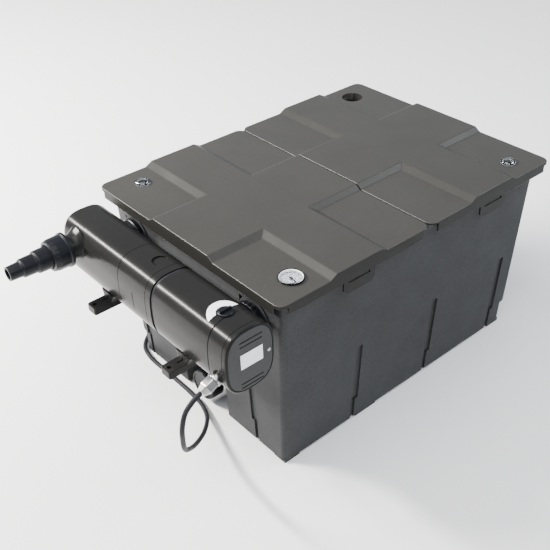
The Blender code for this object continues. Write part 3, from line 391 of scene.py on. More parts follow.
def skin(name, rings, closed=False):
    """A solid through rings of points: capped at both ends, or closed on itself."""
    bm = bmesh.new()
    rows = [[bm.verts.new(point) for point in ring] for ring in rings]
    for low, high in zip(rows, rows[1:]):
        band(bm, low, high)
    if closed:
        band(bm, rows[-1], rows[0])
    else:
        bm.faces.new(rows[0])
        bm.faces.new(rows[-1])
    return add_object(name, bm)


def frame_for(axis):
    axis = Vector(axis).normalized()
    helper = Z_AXIS if abs(axis.z) < 0.9 else X_AXIS
    first = helper.cross(axis).normalized()
    return first, axis.cross(first)


def circle(centre, axis, radius, segments):
    first, second = frame_for(axis)
    angles = [2 * pi * i / segments for i in range(segments)]
    return [Vector(centre) + radius * (cos(a) * first + sin(a) * second) for a in angles]


def soften(profile, radius, closed=True, steps=3):
    """Round the corners of a lathe profile."""
    points = [Vector(p) for p in profile]
    count, out = len(points), []
    for i, p in enumerate(points):
        if not closed and i in (0, count - 1):
            out.append(p)
            continue
        before, after = points[i - 1] - p, points[(i + 1) % count] - p
        reach = min(radius, before.length * 0.45, after.length * 0.45)
        if reach < 1e-6:
            out.append(p)
            continue
        a, b = p + before.normalized() * reach, p + after.normalized() * reach
        for k in range(steps + 1):
            t = k / steps
            out.append(a * (1 - t) ** 2 + p * 2 * t * (1 - t) + b * t ** 2)
    return [tuple(p) for p in out]


def turned(name, centre, axis, profile, segments=72, closed=False, round_by=0.0):
    """A lathe-turned solid. The profile holds (radius, distance along the axis)."""
    axis = Vector(axis).normalized()
    if round_by:
        profile = soften(profile, round_by, closed)
    rings = [circle(Vector(centre) + axis * along, axis, radius, segments) for radius, along in profile]
    return skin(name, rings, closed)


def lathe(node_name, centre, axis, profile, segments=72, closed=False, round_by=0.0004):
    obj = turned(node_name, centre, axis, profile, segments, closed, round_by)
    crease(obj)
    stand_for(obj, node_name)


def rectangle(x0, x1, y0, y1, corner, z, steps=8):
    points = []
    for x, y, start in ((x1, y1, 0), (x0, y1, 90), (x0, y0, 180), (x1, y0, 270)):
        cx = x - copysign(corner, x - (x0 + x1) / 2)
        cy = y - copysign(corner, y - (y0 + y1) / 2)
        for i in range(steps + 1):
            a = radians(start + 90 * i / steps)
            points.append(Vector((cx + corner * cos(a), cy + corner * sin(a), z)))
    return points


def box(name, low, high):
    bm = bmesh.new()
    matrix = Matrix.LocRotScale((Vector(low) + Vector(high)) / 2, None, Vector(high) - Vector(low))
    bmesh.ops.create_cube(bm, size=1.0, matrix=matrix)
    return add_object(name, bm)


def box_tool(low, high):
    return box("tool", low, high)


def round_tool(centre, axis, radius, start, end, segments=64):
    return turned("tool", centre, axis, [(radius, start), (radius, end)], segments)


def uv_section(x, inset):
    """The clarifier's rounded outline at x, drawn in by inset."""
    ring = []
    for i in range(UV_POINTS):
        a = 2 * pi * i / UV_POINTS
        c, s = cos(a), sin(a)
        y = (UV_HALF_Y - inset) * copysign(abs(c) ** (2 / UV_POWER), c)
        z = (UV_HALF_Z - inset) * copysign(abs(s) ** (2 / UV_POWER), s)
        ring.append(Vector((x, UV_Y + y, UV_Z + z)))
    return ring


# ------------------------------------------------------------------ power cord
def smooth_route(points, spacing):
    dense = []
    ends = [2 * points[0] - points[1]] + points + [2 * points[-1] - points[-2]]
    for p0, p1, p2, p3 in zip(ends, ends[1:], ends[2:], ends[3:]):
        for i in range(24):
            t = i / 24
            dense.append(0.5 * (2 * p1 + (p2 - p0) * t + (2 * p0 - 5 * p1 + 4 * p2 - p3) * t ** 2
                                + (3 * p1 - p0 - 3 * p2 + p3) * t ** 3))
    dense.append(points[-1])
    total = sum((b - a).length for a, b in zip(dense, dense[1:]))
    count = round(total / spacing)
    even, walked, target = [dense[0]], 0.0, total / count
    for a, b in zip(dense, dense[1:]):
        step = (b - a).length
        while walked + step >= target * len(even) and len(even) < count:
            even.append(a.lerp(b, (target * len(even) - walked) / step))
        walked += step
    return even + [dense[-1]]


def coil_point(degrees, radius, height):
    a = radians(degrees)
    return COIL_CENTRE + Vector((radius * cos(a), radius * sin(a), height))


def coil_turns():
    """Four layers of turns laid side by side. Each turn steps sideways over a quarter of its round."""
    pitch = (2 * COIL_HALF_BAND - CORD_DIAMETER) / 3
    radius = COIL_MEAN_RADIUS + COIL_HALF_BAND - CORD_DIAMETER / 2
    height = COIL_BOTTOM + CORD_DIAMETER / 2
    marks = [(24, radius, height)]
    at, step = 270, -pitch
    for layer in range(4):
        for _ in range(3):
            marks.append((at, radius, height))
            radius += step
            marks.append((at + 90, radius, height))
            at += 360
        if layer < 3:
            marks.append((at - 90, radius, height))
            height += pitch
            marks.append((at, radius, height))
            at += 180
            step = -step
    marks.append((at - 150, radius, height))
    points, degrees = [], 24
    for (a0, r0, h0), (a1, r1, h1) in zip(marks, marks[1:]):
        while degrees < a1:
            t = (degrees - a0) / (a1 - a0)
            points.append(coil_point(degrees, r0 + (r1 - r0) * t, h0 + (h1 - h0) * t))
            degrees += 20
    return points


def cord_points():
    start = GLAND_BASE + GLAND_DIRECTION * GLAND_REACH
    ground = CORD_DIAMETER / 2 + GAP
    free = [start, start + GLAND_DIRECTION * 0.013] + [Vector(p) for p in (
        (0.19, -0.439, 0.2225), (0.1888, -0.4455, 0.199), (0.184, -0.444, 0.174),
        (0.169, -0.434, 0.136), (0.144, -0.412, 0.099), (0.112, -0.378, 0.062),
        (0.074, -0.337, 0.031), (0.034, -0.303, 0.0105), (-0.002, -0.288, ground + 0.0006))]
    laid = [Vector((x, y, ground)) for x, y in (
        (-0.035, -0.2845), (-0.075, -0.2835), (-0.12, -0.2835), (-0.16, -0.283),
        (-0.196, -0.273), (-0.222, -0.244), (-0.235, -0.205), (-0.2435, -0.175),
        (-0.2465, -0.1495))]
    entry = [coil_point(-4, COIL_MEAN_RADIUS + COIL_HALF_BAND - CORD_DIAMETER / 2 + 0.0022,
                        COIL_BOTTOM + CORD_DIAMETER / 2 - 0.0008)]
    lead = [COIL_CENTRE + Vector((0.02862, -0.04958, 0.02905)), Vector((-0.252, -0.1555, 0.0286)),
            Vector((-0.2402, -0.14, 0.0266)), Vector((-0.235, -0.12, 0.0232)),
            Vector((-0.2325, -0.101, 0.0198)), PLUG_AT - Vector((0, GAP, 0))]
    return smooth_route(free + laid + entry + coil_turns() + lead, 0.008)


def build_cord():
    places = cord_points()
    curve = bpy.data.curves.new("cord", "CURVE")
    curve.dimensions = "3D"
    curve.bevel_depth = CORD_DIAMETER / 2
    curve.bevel_resolution = 4
    curve.use_fill_caps = True
    spline = curve.splines.new("POLY")
    spline.points.add(len(places) - 1)
    for point, at in zip(spline.points, places):
        point.co = (*at, 1.0)
    curve.materials.append(MATERIALS["rubber"])
    cord = bpy.data.objects.new("cord", curve)
    link(cord)
    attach(cord, "tank")
    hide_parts("power_cable", "cable_coil", "plug_lead")
    length = sum((b - a).length for a, b in zip(places, places[1:]))
    return cord, places[0], length


cord, cord_exit, cord_length = build_cord()

# ------------------------------------------------------------------ tank
def right_wall_x(z):
    return TANK_BASE_X + TANK_DRAFT_X * z / TANK_DRAFT_HEIGHT


def front_wall_y(z):
    return -TANK_BASE_Y - TANK_DRAFT_Y * z / TANK_DRAFT_HEIGHT


def left_wall_x(z):
    return -right_wall_x(z) - LEFT_UPPER_STEP * (1 - z / TANK_DRAFT_HEIGHT)


def tank_ring(z, inset=0.0, stepped_in=False):
    left = -right_wall_x(z) if stepped_in else left_wall_x(z)
    rear = TANK_BASE_Y if stepped_in else REAR_UPPER_Y
    return rectangle(left + inset, right_wall_x(z) - inset, front_wall_y(z) + inset, rear - inset,
                     max(TANK_CORNER - inset, 0.004), z)


def groove_tool(side, centre, width, z0, z1):
    """A tapered slot tool that follows the lean of one wall."""
    rings = []
    a, b = centre - width / 2, centre + width / 2
    for z in (z0, z1):
        wall = {"right": right_wall_x(z), "left": -left_wall_x(z), "front": -front_wall_y(z)}[side]
        low, high = wall - GROOVE_DEPTH, wall + 0.03
        if side == "front":
            corners = (a, -low), (b, -low), (b, -high), (a, -high)
        else:
            sign = 1 if side == "right" else -1
            corners = (sign * low, a), (sign * high, a), (sign * high, b), (sign * low, b)
        rings.append([Vector((x, y, z)) for x, y in corners])
    return skin("tool", rings)


def cut_groove(tank, side, centre, foot_centre, top):
    cut(tank, groove_tool(side, centre, GROOVE_WIDE, TANK_STEP_Z, top))
    cut(tank, groove_tool(side, foot_centre, GROOVE_NARROW, -0.01, TANK_STEP_Z + 0.001))


def build_tank():
    flange_z = TANK_TOP - RIM_HEIGHT
    rim = [rectangle(-RIM_HALF_X, RIM_HALF_X, -RIM_HALF_Y, RIM_HALF_Y, 0.012, z)
           for z in (flange_z, TANK_TOP)]
    outside = [tank_ring(TANK_FOOT, stepped_in=True), tank_ring(TANK_STEP_Z, stepped_in=True),
               tank_ring(TANK_STEP_Z + 0.002), tank_ring(flange_z)]
    inside = [tank_ring(TANK_TOP, TANK_WALL), tank_ring(TANK_STEP_Z + 0.007, TANK_WALL),
              tank_ring(TANK_STEP_Z, TANK_WALL, stepped_in=True),
              tank_ring(TANK_FOOT + 0.007, TANK_WALL, stepped_in=True)]
    tank = skin("tank", outside + rim + inside)
    x0, x1 = POCKET_X
    join(tank, box_tool((x0 - 0.004, front_wall_y(0) + 0.002, TANK_FOOT + 0.001),
                        (x1 + 0.004, POCKET_BACK_Y + 0.004, POCKET_TOP + 0.004)))
    cut(tank, box_tool((x0, -0.32, -0.02), (x1, POCKET_BACK_Y, POCKET_TOP)))
    for foot_x0, foot_x1, foot_y0, foot_y1 in FEET:
        join(tank, box_tool((foot_x0, foot_y0, 0.0), (foot_x1, foot_y1, TANK_FOOT + 0.002)))
    offset = (GROOVE_WIDE - GROOVE_NARROW) / 2
    for y in SIDE_GROOVE_Y:
        for side in ("right", "left"):
            cut_groove(tank, side, y, y - offset, SIDE_GROOVE_TOP)
    for x in FRONT_GROOVE_X:
        cut_groove(tank, "front", x, x + offset, FRONT_GROOVE_TOP)
    for x in (PORT_X, -PORT_X):
        join(tank, round_tool((x, PORT_FACE_Y, PORT_Z), Y_AXIS, PORT_BOSS, 0.0, 0.006))
        cut(tank, round_tool((x, PORT_FACE_Y, PORT_Z), Y_AXIS, PORT_BORE + GAP, -0.01, 0.03))
    cut(tank, round_tool((DRAIN_X, POCKET_BACK_Y, DRAIN_Z), Y_AXIS, DRAIN_PIPE + GAP, -0.01, 0.02))
    cut(tank, round_tool((0, REAR_UPPER_Y, OUTLET_Z), Y_AXIS, OUTLET_PIPE + GAP, -0.02, 0.02))
    settle_as(tank, "tank_shell", 0.0007)


# ------------------------------------------------------------------ lids
def cross_share(x, y):
    """1 on the raised cross, 0 on the corner pads, and between them on the slopes."""
    across = (CROSS_X[1] - abs(x)) / (CROSS_X[1] - CROSS_X[0])
    along = (CROSS_Y[1] - abs(y)) / (CROSS_Y[1] - CROSS_Y[0])
    return min(max(across, along, 0.0), 1.0)


def lid_sheet(bm, inset):
    """One face of the lid's folded sheet. Its edge vertices come back in order."""
    x1, y1 = LID_HALF_X - inset, LID_DEPTH / 2 - inset
    ring = rectangle(-x1, x1, -y1, y1, LID_CORNER - inset, 0.0)
    face = bm.faces.new([bm.verts.new(p) for p in ring])
    part = {"verts": list(face.verts), "edges": list(face.edges), "faces": [face]}
    kinds = (("verts", bmesh.types.BMVert), ("edges", bmesh.types.BMEdge), ("faces", bmesh.types.BMFace))
    folds = [(X_AXIS, v) for v in (*CROSS_X, -CROSS_X[0], -CROSS_X[1])]
    folds += [(Y_AXIS, v) for v in (*CROSS_Y, -CROSS_Y[0], -CROSS_Y[1])]
    for axis, value in folds:
        found = bmesh.ops.bisect_plane(bm, geom=part["verts"] + part["edges"] + part["faces"], dist=1e-7,
                                       plane_co=axis * value, plane_no=axis)["geom"]
        part = {key: [g for g in found if isinstance(g, kind)] for key, kind in kinds}
    for face in list(part["faces"]):
        c = face.calc_center_median()
        if CROSS_X[0] < abs(c.x) < CROSS_X[1] and CROSS_Y[0] < abs(c.y) < CROSS_Y[1]:
            bmesh.utils.face_split(face, min(face.verts, key=lambda v: v.co.length),
                                   max(face.verts, key=lambda v: v.co.length))
    for vert in part["verts"]:
        vert.co.z = LID_PAD_Z - inset + LID_STEP * cross_share(vert.co.x, vert.co.y)
    edge_verts = {v for e in part["edges"] if e.is_valid and e.is_boundary for v in e.verts}
    return sorted(edge_verts, key=lambda v: atan2(v.co.y, v.co.x))


def build_lid(node_name, centre_y):
    bm = bmesh.new()
    top = lid_sheet(bm, 0.0)
    under = lid_sheet(bm, LID_SHEET)
    skirt_z = LID_PAD_Z - LID_SKIRT
    outer, inner = ([bm.verts.new((v.co.x, v.co.y, skirt_z)) for v in row] for row in (top, under))
    for low, high in ((top, outer), (outer, inner), (inner, under)):
        band(bm, low, high)
    bmesh.ops.translate(bm, verts=bm.verts, vec=(0, centre_y, 0))
    lid = settle(add_object(node_name, bm), 0.0014, 4, angle=14)
    add_latches(lid, centre_y)
    open_skirt_corners(lid, centre_y)
    sockets = {"front_lid": ((FITTING_X, -FITTING_Y, 0.0165), (-FITTING_X, -FITTING_Y, 0.0105)),
               "rear_lid": ((FITTING_X, FITTING_Y, 0.0105),)}[node_name]
    for x, y, radius in sockets:
        cut(lid, round_tool((x, y, 0.3), Z_AXIS, radius + GAP, 0.0, 0.08))
    if node_name == "rear_lid":
        join(lid, round_tool((-FITTING_X, FITTING_Y, 0), Z_AXIS, 0.0225, 0.322, LID_PAD_Z - 0.001, 72))
        cut(lid, round_tool((-FITTING_X, FITTING_Y, 0.325), Z_AXIS, 0.0195, 0.0, 0.03))
    settle_as(lid, node_name)
    # faces that stand upright take the darker copy of the lid plastic: painted shade, as these sides stand in
    # shadow
    lid.data.materials.append(MATERIALS["lid_side_painted_shade"])
    for face in lid.data.polygons:
        if abs(face.normal.z) < 0.25:
            face.material_index = 1


def add_latches(lid, centre_y):
    for side in (1, -1):
        x0, x1 = sorted((side * (LID_HALF_X - LID_SHEET), side * LID_HALF_X))
        y0, y1 = centre_y - LATCH_HALF, centre_y + LATCH_HALF
        outline = ((y0, LATCH_TOP), (y1, LATCH_TOP), (y1, LATCH_BEVEL_Z), (y1 - 0.008, LATCH_FOOT),
                   (y0 + 0.008, LATCH_FOOT), (y0, LATCH_BEVEL_Z))
        join(lid, skin("tool", [[Vector((x, y, z)) for y, z in outline]
                                for x in (x0 + 0.00002, x1 - 0.00002)]))
        cut(lid, box_tool((x0 - 0.002, centre_y - LATCH_SLOT_HALF, LATCH_SLOT_Z[0]),
                          (x1 + 0.002, centre_y + LATCH_SLOT_HALF, LATCH_SLOT_Z[1])))


def open_skirt_corners(lid, centre_y):
    """The skirt stops short of the lid's corners, and of the seam between the lids."""
    for sx in (1, -1):
        for sy in (1, -1):
            corner = Vector((sx * LID_HALF_X, centre_y + sy * LID_DEPTH / 2, 0))
            near = corner - Vector((sx * SKIRT_CORNER, sy * SKIRT_CORNER, 0))
            far = corner + Vector((sx * 0.01, sy * 0.01, 0))
            cut(lid, box_tool((min(near.x, far.x), min(near.y, far.y), SKIRT_CUT_FROM),
                              (max(near.x, far.x), max(near.y, far.y), LID_PAD_Z - 0.0055)))
    inner = 1 if centre_y < 0 else -1
    seam = centre_y + inner * LID_DEPTH / 2
    y0, y1 = sorted((seam - inner * (LID_CORNER + 0.002), seam + inner * 0.001))
    cut(lid, box_tool((-0.23, y0, SKIRT_CUT_FROM), (0.23, y1, LID_PAD_Z - LID_SHEET - 0.0002)))


# ------------------------------------------------------------------ lid fittings
def build_thermometer():
    centre = Vector((FITTING_X, -FITTING_Y, LID_PAD_Z))
    lathe("thermometer_case", centre, Z_AXIS, [
        (0.0006, -0.075), (0.0032, -0.075), (0.0032, -0.02), (0.0162, -0.019), (0.0162, -0.0005),
        (0.015, -0.0005), (0.015, -0.017), (0.0006, -0.017)])
    lathe("thermometer_bezel", centre, Z_AXIS, [
        (0.019, 0.0003), (0.019, 0.0022), (0.0186, 0.0031), (0.018, 0.0031), (0.0176, 0.0025), (0.0176, 0.0003)],
        96, closed=True)
    rim = turned("rim", centre, Z_AXIS, [
        (0.0174, 0.0003), (0.0174, 0.0023), (0.0165, 0.002), (0.0163, 0.0002), (0.0149, -0.0003),
        (0.0147, -0.0008), (0.0147, -0.0024), (0.0148, -0.0024), (0.0148, -0.0009), (0.015, -0.0004),
        (0.0165, -0.0003)], 96, closed=True)
    dress(rim, "thermometer_face_rim", "front_lid", "white_plate")
    lathe("thermometer_dial", centre, Z_AXIS, [
        (0.0145, -0.004), (0.0145, -0.0025), (0.0016, -0.0025), (0.0016, -0.004)], closed=True)
    dial_marks(centre)
    lathe("thermometer_lens", centre, Z_AXIS, [
        (0.0161, 0.0003), (0.0161, 0.0016), (0.015, 0.0021), (0.008, 0.0027), (0.0004, 0.0028)], 96)
    needle = turned("needle", centre, Z_AXIS, [
        (0.0012, -0.0055), (0.0012, -0.0022), (0.0022, -0.0022), (0.0022, -0.0012), (0.0016, -0.001)], 32)
    outline = ((-0.004, -0.0009), (0.0115, -0.0003), (0.0115, 0.0003), (-0.004, 0.0009))
    join(needle, skin("tool", [[Vector((centre.x + x, centre.y + y, z)) for x, y in outline]
                               for z in (centre.z - 0.0019, centre.z - 0.0013)]))
    settle_as(needle, "thermometer_needle")


def dial_marks(centre):
    """A ring of short marks printed on the dial. Every fifth is longer and wider."""
    bm = bmesh.new()
    z, r1, gaps = centre.z - 0.00246, 0.0132, 40
    for i in range(gaps + 1):
        a = radians(-225 + 270 * i / gaps)
        out = Vector((cos(a), sin(a), 0))
        r0, half_width = (0.0108, 0.00022) if i % 5 == 0 else (0.012, 0.00011)
        side = Vector((-out.y, out.x, 0)) * half_width
        corners = [Vector((centre.x, centre.y, z)) + p for p in
                   (out * r0 - side, out * r1 - side, out * r1 + side, out * r0 + side)]
        low = [bm.verts.new(p) for p in corners]
        high = [bm.verts.new(p + Z_AXIS * 0.00006) for p in corners]
        bm.faces.new(high)
        bm.faces.new(low)
        band(bm, low, high)
    dress(add_object("marks", bm), "thermometer_marks", "front_lid", "pointer", "scale_marks")


def build_indicator(prefix, x, y):
    centre = (x, y, LID_PAD_Z)
    lathe(prefix + "_indicator_lens", centre, Z_AXIS, [
        (0.0003, 0.0064), (0.004, 0.0062), (0.008, 0.0056), (0.0105, 0.0046), (0.0122, 0.003), (0.013, 0.0016),
        (0.013, 0.0003), (0.0102, 0.0003), (0.0102, -0.016), (0.0088, -0.016), (0.0088, 0.0034),
        (0.006, 0.0046), (0.0003, 0.005)])
    lathe(prefix + "_indicator_float", centre, Z_AXIS, [
        (0.0004, -0.04), (0.006, -0.04), (0.008, -0.038), (0.008, -0.012), (0.006, -0.01), (0.0004, -0.0096)],
        48, round_by=0.001)


# ------------------------------------------------------------------ clarifier
def chamber(name, stations, closed=False):
    """A length of the housing through (x, inset) stations."""
    return skin(name, [uv_section(x, inset) for x, inset in stations], closed)


def add_lug(housing, x):
    """A drilled ear under the housing, on a root that widens upwards."""
    low_z = LUG_TOP - LUG_THICK
    ear = [rectangle(x - LUG_HALF + e, x + LUG_HALF - e, LUG_Y[0] + e, LUG_Y[1] - e, 0.003, z, 4)
           for z, e in ((low_z, LUG_EDGE), (low_z + LUG_EDGE, 0.0), (LUG_TOP - LUG_EDGE, 0.0),
                        (LUG_TOP - LUG_EDGE / 3, LUG_EDGE / 3), (LUG_TOP, LUG_EDGE))]
    join(housing, skin("tool", ear))
    root = [rectangle(x - LUG_HALF - grow, x + LUG_HALF + grow, y_front, -0.3365, 0.003, z, 3)
            for z, grow, y_front in ((LUG_TOP - 0.006, 0.0, -0.379), (LUG_TOP - 0.002, 0.0005, -0.3788),
                                     (LUG_TOP + 0.003, 0.0022, -0.3782),
                                     (UV_Z - UV_HALF_Z + 0.0075, 0.0065, -0.3775))]
    join(housing, skin("tool", root))
    cut(housing, round_tool((x, -0.402, low_z), Z_AXIS, 0.0032, -0.01, 0.03, 32))
    cut(housing, box_tool((x - 0.0012, -0.388, LUG_TOP - 0.006), (x + 0.0012, -0.373, LUG_TOP + 0.004)))


def build_inlet_chamber():
    x0, x1 = UV_LEFT, UV_RING_X[0] - GAP
    turns = [radians(90 * i / 8) for i in range(8, -1, -1)]
    end = [(x0 + END_ROUND * (1 - sin(a)), END_ROUND * (1 - cos(a))) for a in turns]
    groove = [(-0.0436, 0.0), (-0.0433, 0.0005), (-0.0427, 0.0005), (-0.0424, 0.0)]
    collar = [(x1 - 0.0135, 0.0), (x1 - 0.0132, 0.0004), (x1 - 0.0126, 0.0004), (x1 - 0.0123, 0.0)]
    inside = [(x1 - 0.0006, 0.0), (x1, 0.0006), (x1, UV_WALL), (x0 + 0.009, UV_WALL + 0.001),
              (x0 + 0.005, 0.014)]
    housing = chamber("inlet_chamber", end + groove + collar + inside)
    centre = (INLET_X, UV_Y - UV_HALF_Y, INLET_Z)
    nozzle = [(0.029, 0.006), (0.0262, 0.0022), (0.024, -0.0005), (0.0224, -0.0035), (0.0213, -0.007),
              (0.0207, -0.011), (0.0203, -0.014), (0.0192, -0.0155), (0.019, -0.02),
              (0.0175, -0.02), (0.0175, -0.04)]
    join(housing, turned("tool", centre, Y_AXIS, nozzle, 64))
    cut(housing, round_tool(centre, Y_AXIS, 0.0135, -0.05, 0.012))
    add_lug(housing, -LUG_X)
    cut(housing, box_tool((-0.0068, -0.39, 0.257), (-0.0052, -0.3845, 0.289)))
    crown = UV_Z + UV_HALF_Z
    recess = round_tool((0.0075, -0.3395, crown), Z_AXIS, 0.0125, -0.0026, 0.004, 48)
    cut(recess, round_tool((0.0112, -0.3395, crown), Z_AXIS, 0.0105, -0.01, 0.01, 48))
    settle(recess)
    cut(housing, recess)
    settle_as(housing, "uv_inlet_chamber", 0.0005, angle=36)


def build_outlet_chamber():
    x0, x1 = UV_RING_X[1] + GAP, UV_SEAM_X - GAP
    housing = chamber("outlet_chamber", [(x0, 0.0006), (x0 + 0.0006, 0.0), (x1 - 0.0006, 0.0), (x1, 0.0006),
                                         (x1, UV_WALL), (x0, UV_WALL)], closed=True)
    cut(housing, round_tool((PORT_X, UV_Y + UV_HALF_Y, PORT_Z), Y_AXIS, PORT_BORE + GAP, -0.02, 0.02))
    cut(housing, round_tool(LOCK_AT, Z_AXIS, 0.0042 + GAP, -0.03, 0.03, 32))
    add_lug(housing, LUG_X)
    settle_as(housing, "uv_outlet_chamber", 0.0005, angle=36)


def build_seal_ring():
    a, b = UV_RING_X
    ring = chamber("seal_ring", [(a, 0.0024), (a + 0.0008, 0.0016), (b - 0.0008, 0.0016), (b, 0.0024),
                                 (b, 0.006), (a, 0.006)], closed=True)
    crease(ring)
    stand_for(ring, "uv_seal_ring")


def build_head():
    x0, x1 = UV_SEAM_X + GAP, UV_RIGHT
    ledge = UV_RIGHT - 0.0033
    cap = chamber("head_cap", [
        (x0, 0.0006), (x0 + 0.0006, 0.0), (0.2056, 0.0), (0.2059, 0.0005), (0.2065, 0.0005), (0.2068, 0.0),
        (x1 - 0.003, 0.0), (x1 - 0.0017, 0.0003), (x1 - 0.0007, 0.001), (x1, 0.0021), (x1, 0.003),
        (ledge, 0.003), (ledge, 0.009), (ledge - 0.004, 0.009), (ledge - 0.009, UV_WALL), (x0, UV_WALL)],
        closed=True)
    cut(cap, round_tool(GLAND_BASE, GLAND_DIRECTION, 0.0065, -0.016, 0.02, 40))
    settle_as(cap, "uv_head_cap", sharp=40)

    plate_x = UV_RIGHT - 0.003
    end = chamber("end_plate", [(plate_x, 0.0036), (x1 - 0.0008, 0.0036), (x1 - 0.0003, 0.0038),
                                (x1, 0.0043)])
    for z in VENT_Z:
        cut(end, box_tool((plate_x - 0.01, LABEL_Y[0], z - VENT_HALF), (x1 + 0.01, -0.3225, z + VENT_HALF)))
    screw_at = Vector((UV_RIGHT, -0.3115, 0.276))
    cut(end, round_tool(screw_at, X_AXIS, 0.0026 + GAP, -0.01, 0.01, 32))
    settle_as(end, "head_end_plate", 0.0003, material="panel_plastic")

    label = box("label", (UV_RIGHT + GAP, LABEL_Y[0], LABEL_Z[0]),
                (UV_RIGHT + 0.0008, LABEL_Y[1], LABEL_Z[1]))
    settle_as(label, "head_label", 0.0002)

    screw = turned("screw", screw_at, X_AXIS, [
        (0.0003, -0.0027), (0.0013, -0.0027), (0.0013, -0.0005), (0.0026, -0.0005), (0.0026, 0.0003),
        (0.002, 0.0006), (0.0003, 0.0006)], 40, round_by=0.0002)
    for wide, high in ((0.0019, 0.0004), (0.0004, 0.0019)):
        cut(screw, box_tool(screw_at + Vector((-0.0002, -wide, -high)),
                            screw_at + Vector((0.004, wide, high))))
    settle_as(screw, "end_plate_screw")


def build_lock():
    lock = turned("lock", LOCK_AT, Z_AXIS, [
        (0.0003, -0.008), (0.0042, -0.008), (0.0042, 0.0005), (0.0112, 0.0005), (0.0112, 0.002), (0.01, 0.0028),
        (0.0003, 0.0028)], 64, round_by=0.0004)
    x, y, z = LOCK_AT
    join(lock, box_tool((x - 0.0018, y - 0.01, z + 0.0015), (x + 0.0018, y + 0.01, z + 0.006)))
    settle_as(lock, "lamp_lock_knob", 0.0005, 3)


def build_lock_plate():
    """A C-shaped plate that follows the curve of the housing, cut straight on one side."""
    steps, rows, thickness, cut_x = 40, 8, 0.0007, -0.0044
    radii = [0.013 + 0.0125 * k / rows for k in range(rows + 1)]
    bm = bmesh.new()

    def layer(lift):
        made = []
        for i in range(steps + 1):
            row = []
            for radius in radii:
                start = acos(cut_x / radius)
                a = start + 2 * (pi - start) * i / steps
                x, y = LOCK_AT.x + radius * cos(a), LOCK_AT.y + radius * sin(a)
                across = abs((y - UV_Y) / UV_HALF_Y) ** UV_POWER
                row.append(bm.verts.new((x, y, UV_Z + UV_HALF_Z * (1 - across) ** (1 / UV_POWER) + lift)))
            made.append(row)
        return made

    low, high = layer(GAP), layer(GAP + thickness)
    for i in range(steps):
        for j in range(rows):
            bm.faces.new((low[i][j], low[i + 1][j], low[i + 1][j + 1], low[i][j + 1]))
            bm.faces.new((high[i][j], high[i][j + 1], high[i + 1][j + 1], high[i + 1][j]))
        for j in (0, rows):
            bm.faces.new((low[i][j], low[i + 1][j], high[i + 1][j], high[i][j]))
    for i in (0, steps):
        for j in range(rows):
            bm.faces.new((low[i][j], low[i][j + 1], high[i][j + 1], high[i][j]))
    dial = add_object("dial", bm)
    crease(dial)
    stand_for(dial, "lock_dial_plate")


def build_lamp():
    at = (0, UV_Y, UV_Z)
    lathe("quartz_sleeve", at, X_AXIS, [
        (0.0004, -0.15), (0.012, -0.15), (0.015, -0.1465), (0.015, 0.16), (0.0135, 0.16), (0.0135, -0.1455),
        (0.0004, -0.148)], 48, round_by=0.0006)
    lathe("uv_lamp", at, X_AXIS, [
        (0.0004, -0.13), (0.006, -0.13), (0.008, -0.1275), (0.008, 0.15), (0.01, 0.1505), (0.01, 0.168),
        (0.0004, 0.168)], 40, round_by=0.0006)
    lathe("lamp_holder", at, X_AXIS, [
        (0.016, 0.161), (0.016, 0.1685), (0.032, 0.1685), (0.032, 0.174), (0.014, 0.174), (0.014, 0.186),
        (0.0104, 0.186), (0.0104, 0.161)], 48, closed=True)
    lathe("sleeve_seal", at, X_AXIS, [
        (0.018, 0.156), (0.018, 0.1605), (0.0153, 0.1605), (0.0153, 0.156)], 48, closed=True, round_by=0.001)
    ballast = box("ballast", (0.1895, -0.364, 0.254), (0.208, -0.323, 0.302))
    settle_as(ballast, "ballast", 0.0015, 3)


# ------------------------------------------------------------------ pipe fittings
def ribbed(node_name, centre, axis, outer, inner, start, end, ribs):
    """A nut with rounded ribs all round."""
    per_rib, edge, depth = 8, 0.0014, 0.0012
    around = ribs * per_rib
    sign = 1 if end > start else -1
    first, second = frame_for(axis)

    def ring(radius, along, ridge):
        points = []
        for i in range(around):
            a = 2 * pi * i / around
            wave = 0.5 - 0.5 * cos(2 * pi * (i % per_rib) / per_rib)
            r = radius - ridge * wave ** 2
            points.append(Vector(centre) + axis * along + r * (cos(a) * first + sin(a) * second))
        return points

    rings = [ring(outer - edge, start, 0.0), ring(outer - 0.0004, start + sign * 0.0005, depth * 0.5),
             ring(outer, start + sign * edge, depth), ring(outer, end - sign * edge, depth),
             ring(outer - 0.0004, end - sign * 0.0005, depth * 0.5), ring(outer - edge, end, 0.0),
             ring(inner, end, 0.0), ring(inner, start, 0.0)]
    nut = skin(node_name, rings, closed=True)
    crease(nut)
    stand_for(nut, node_name)


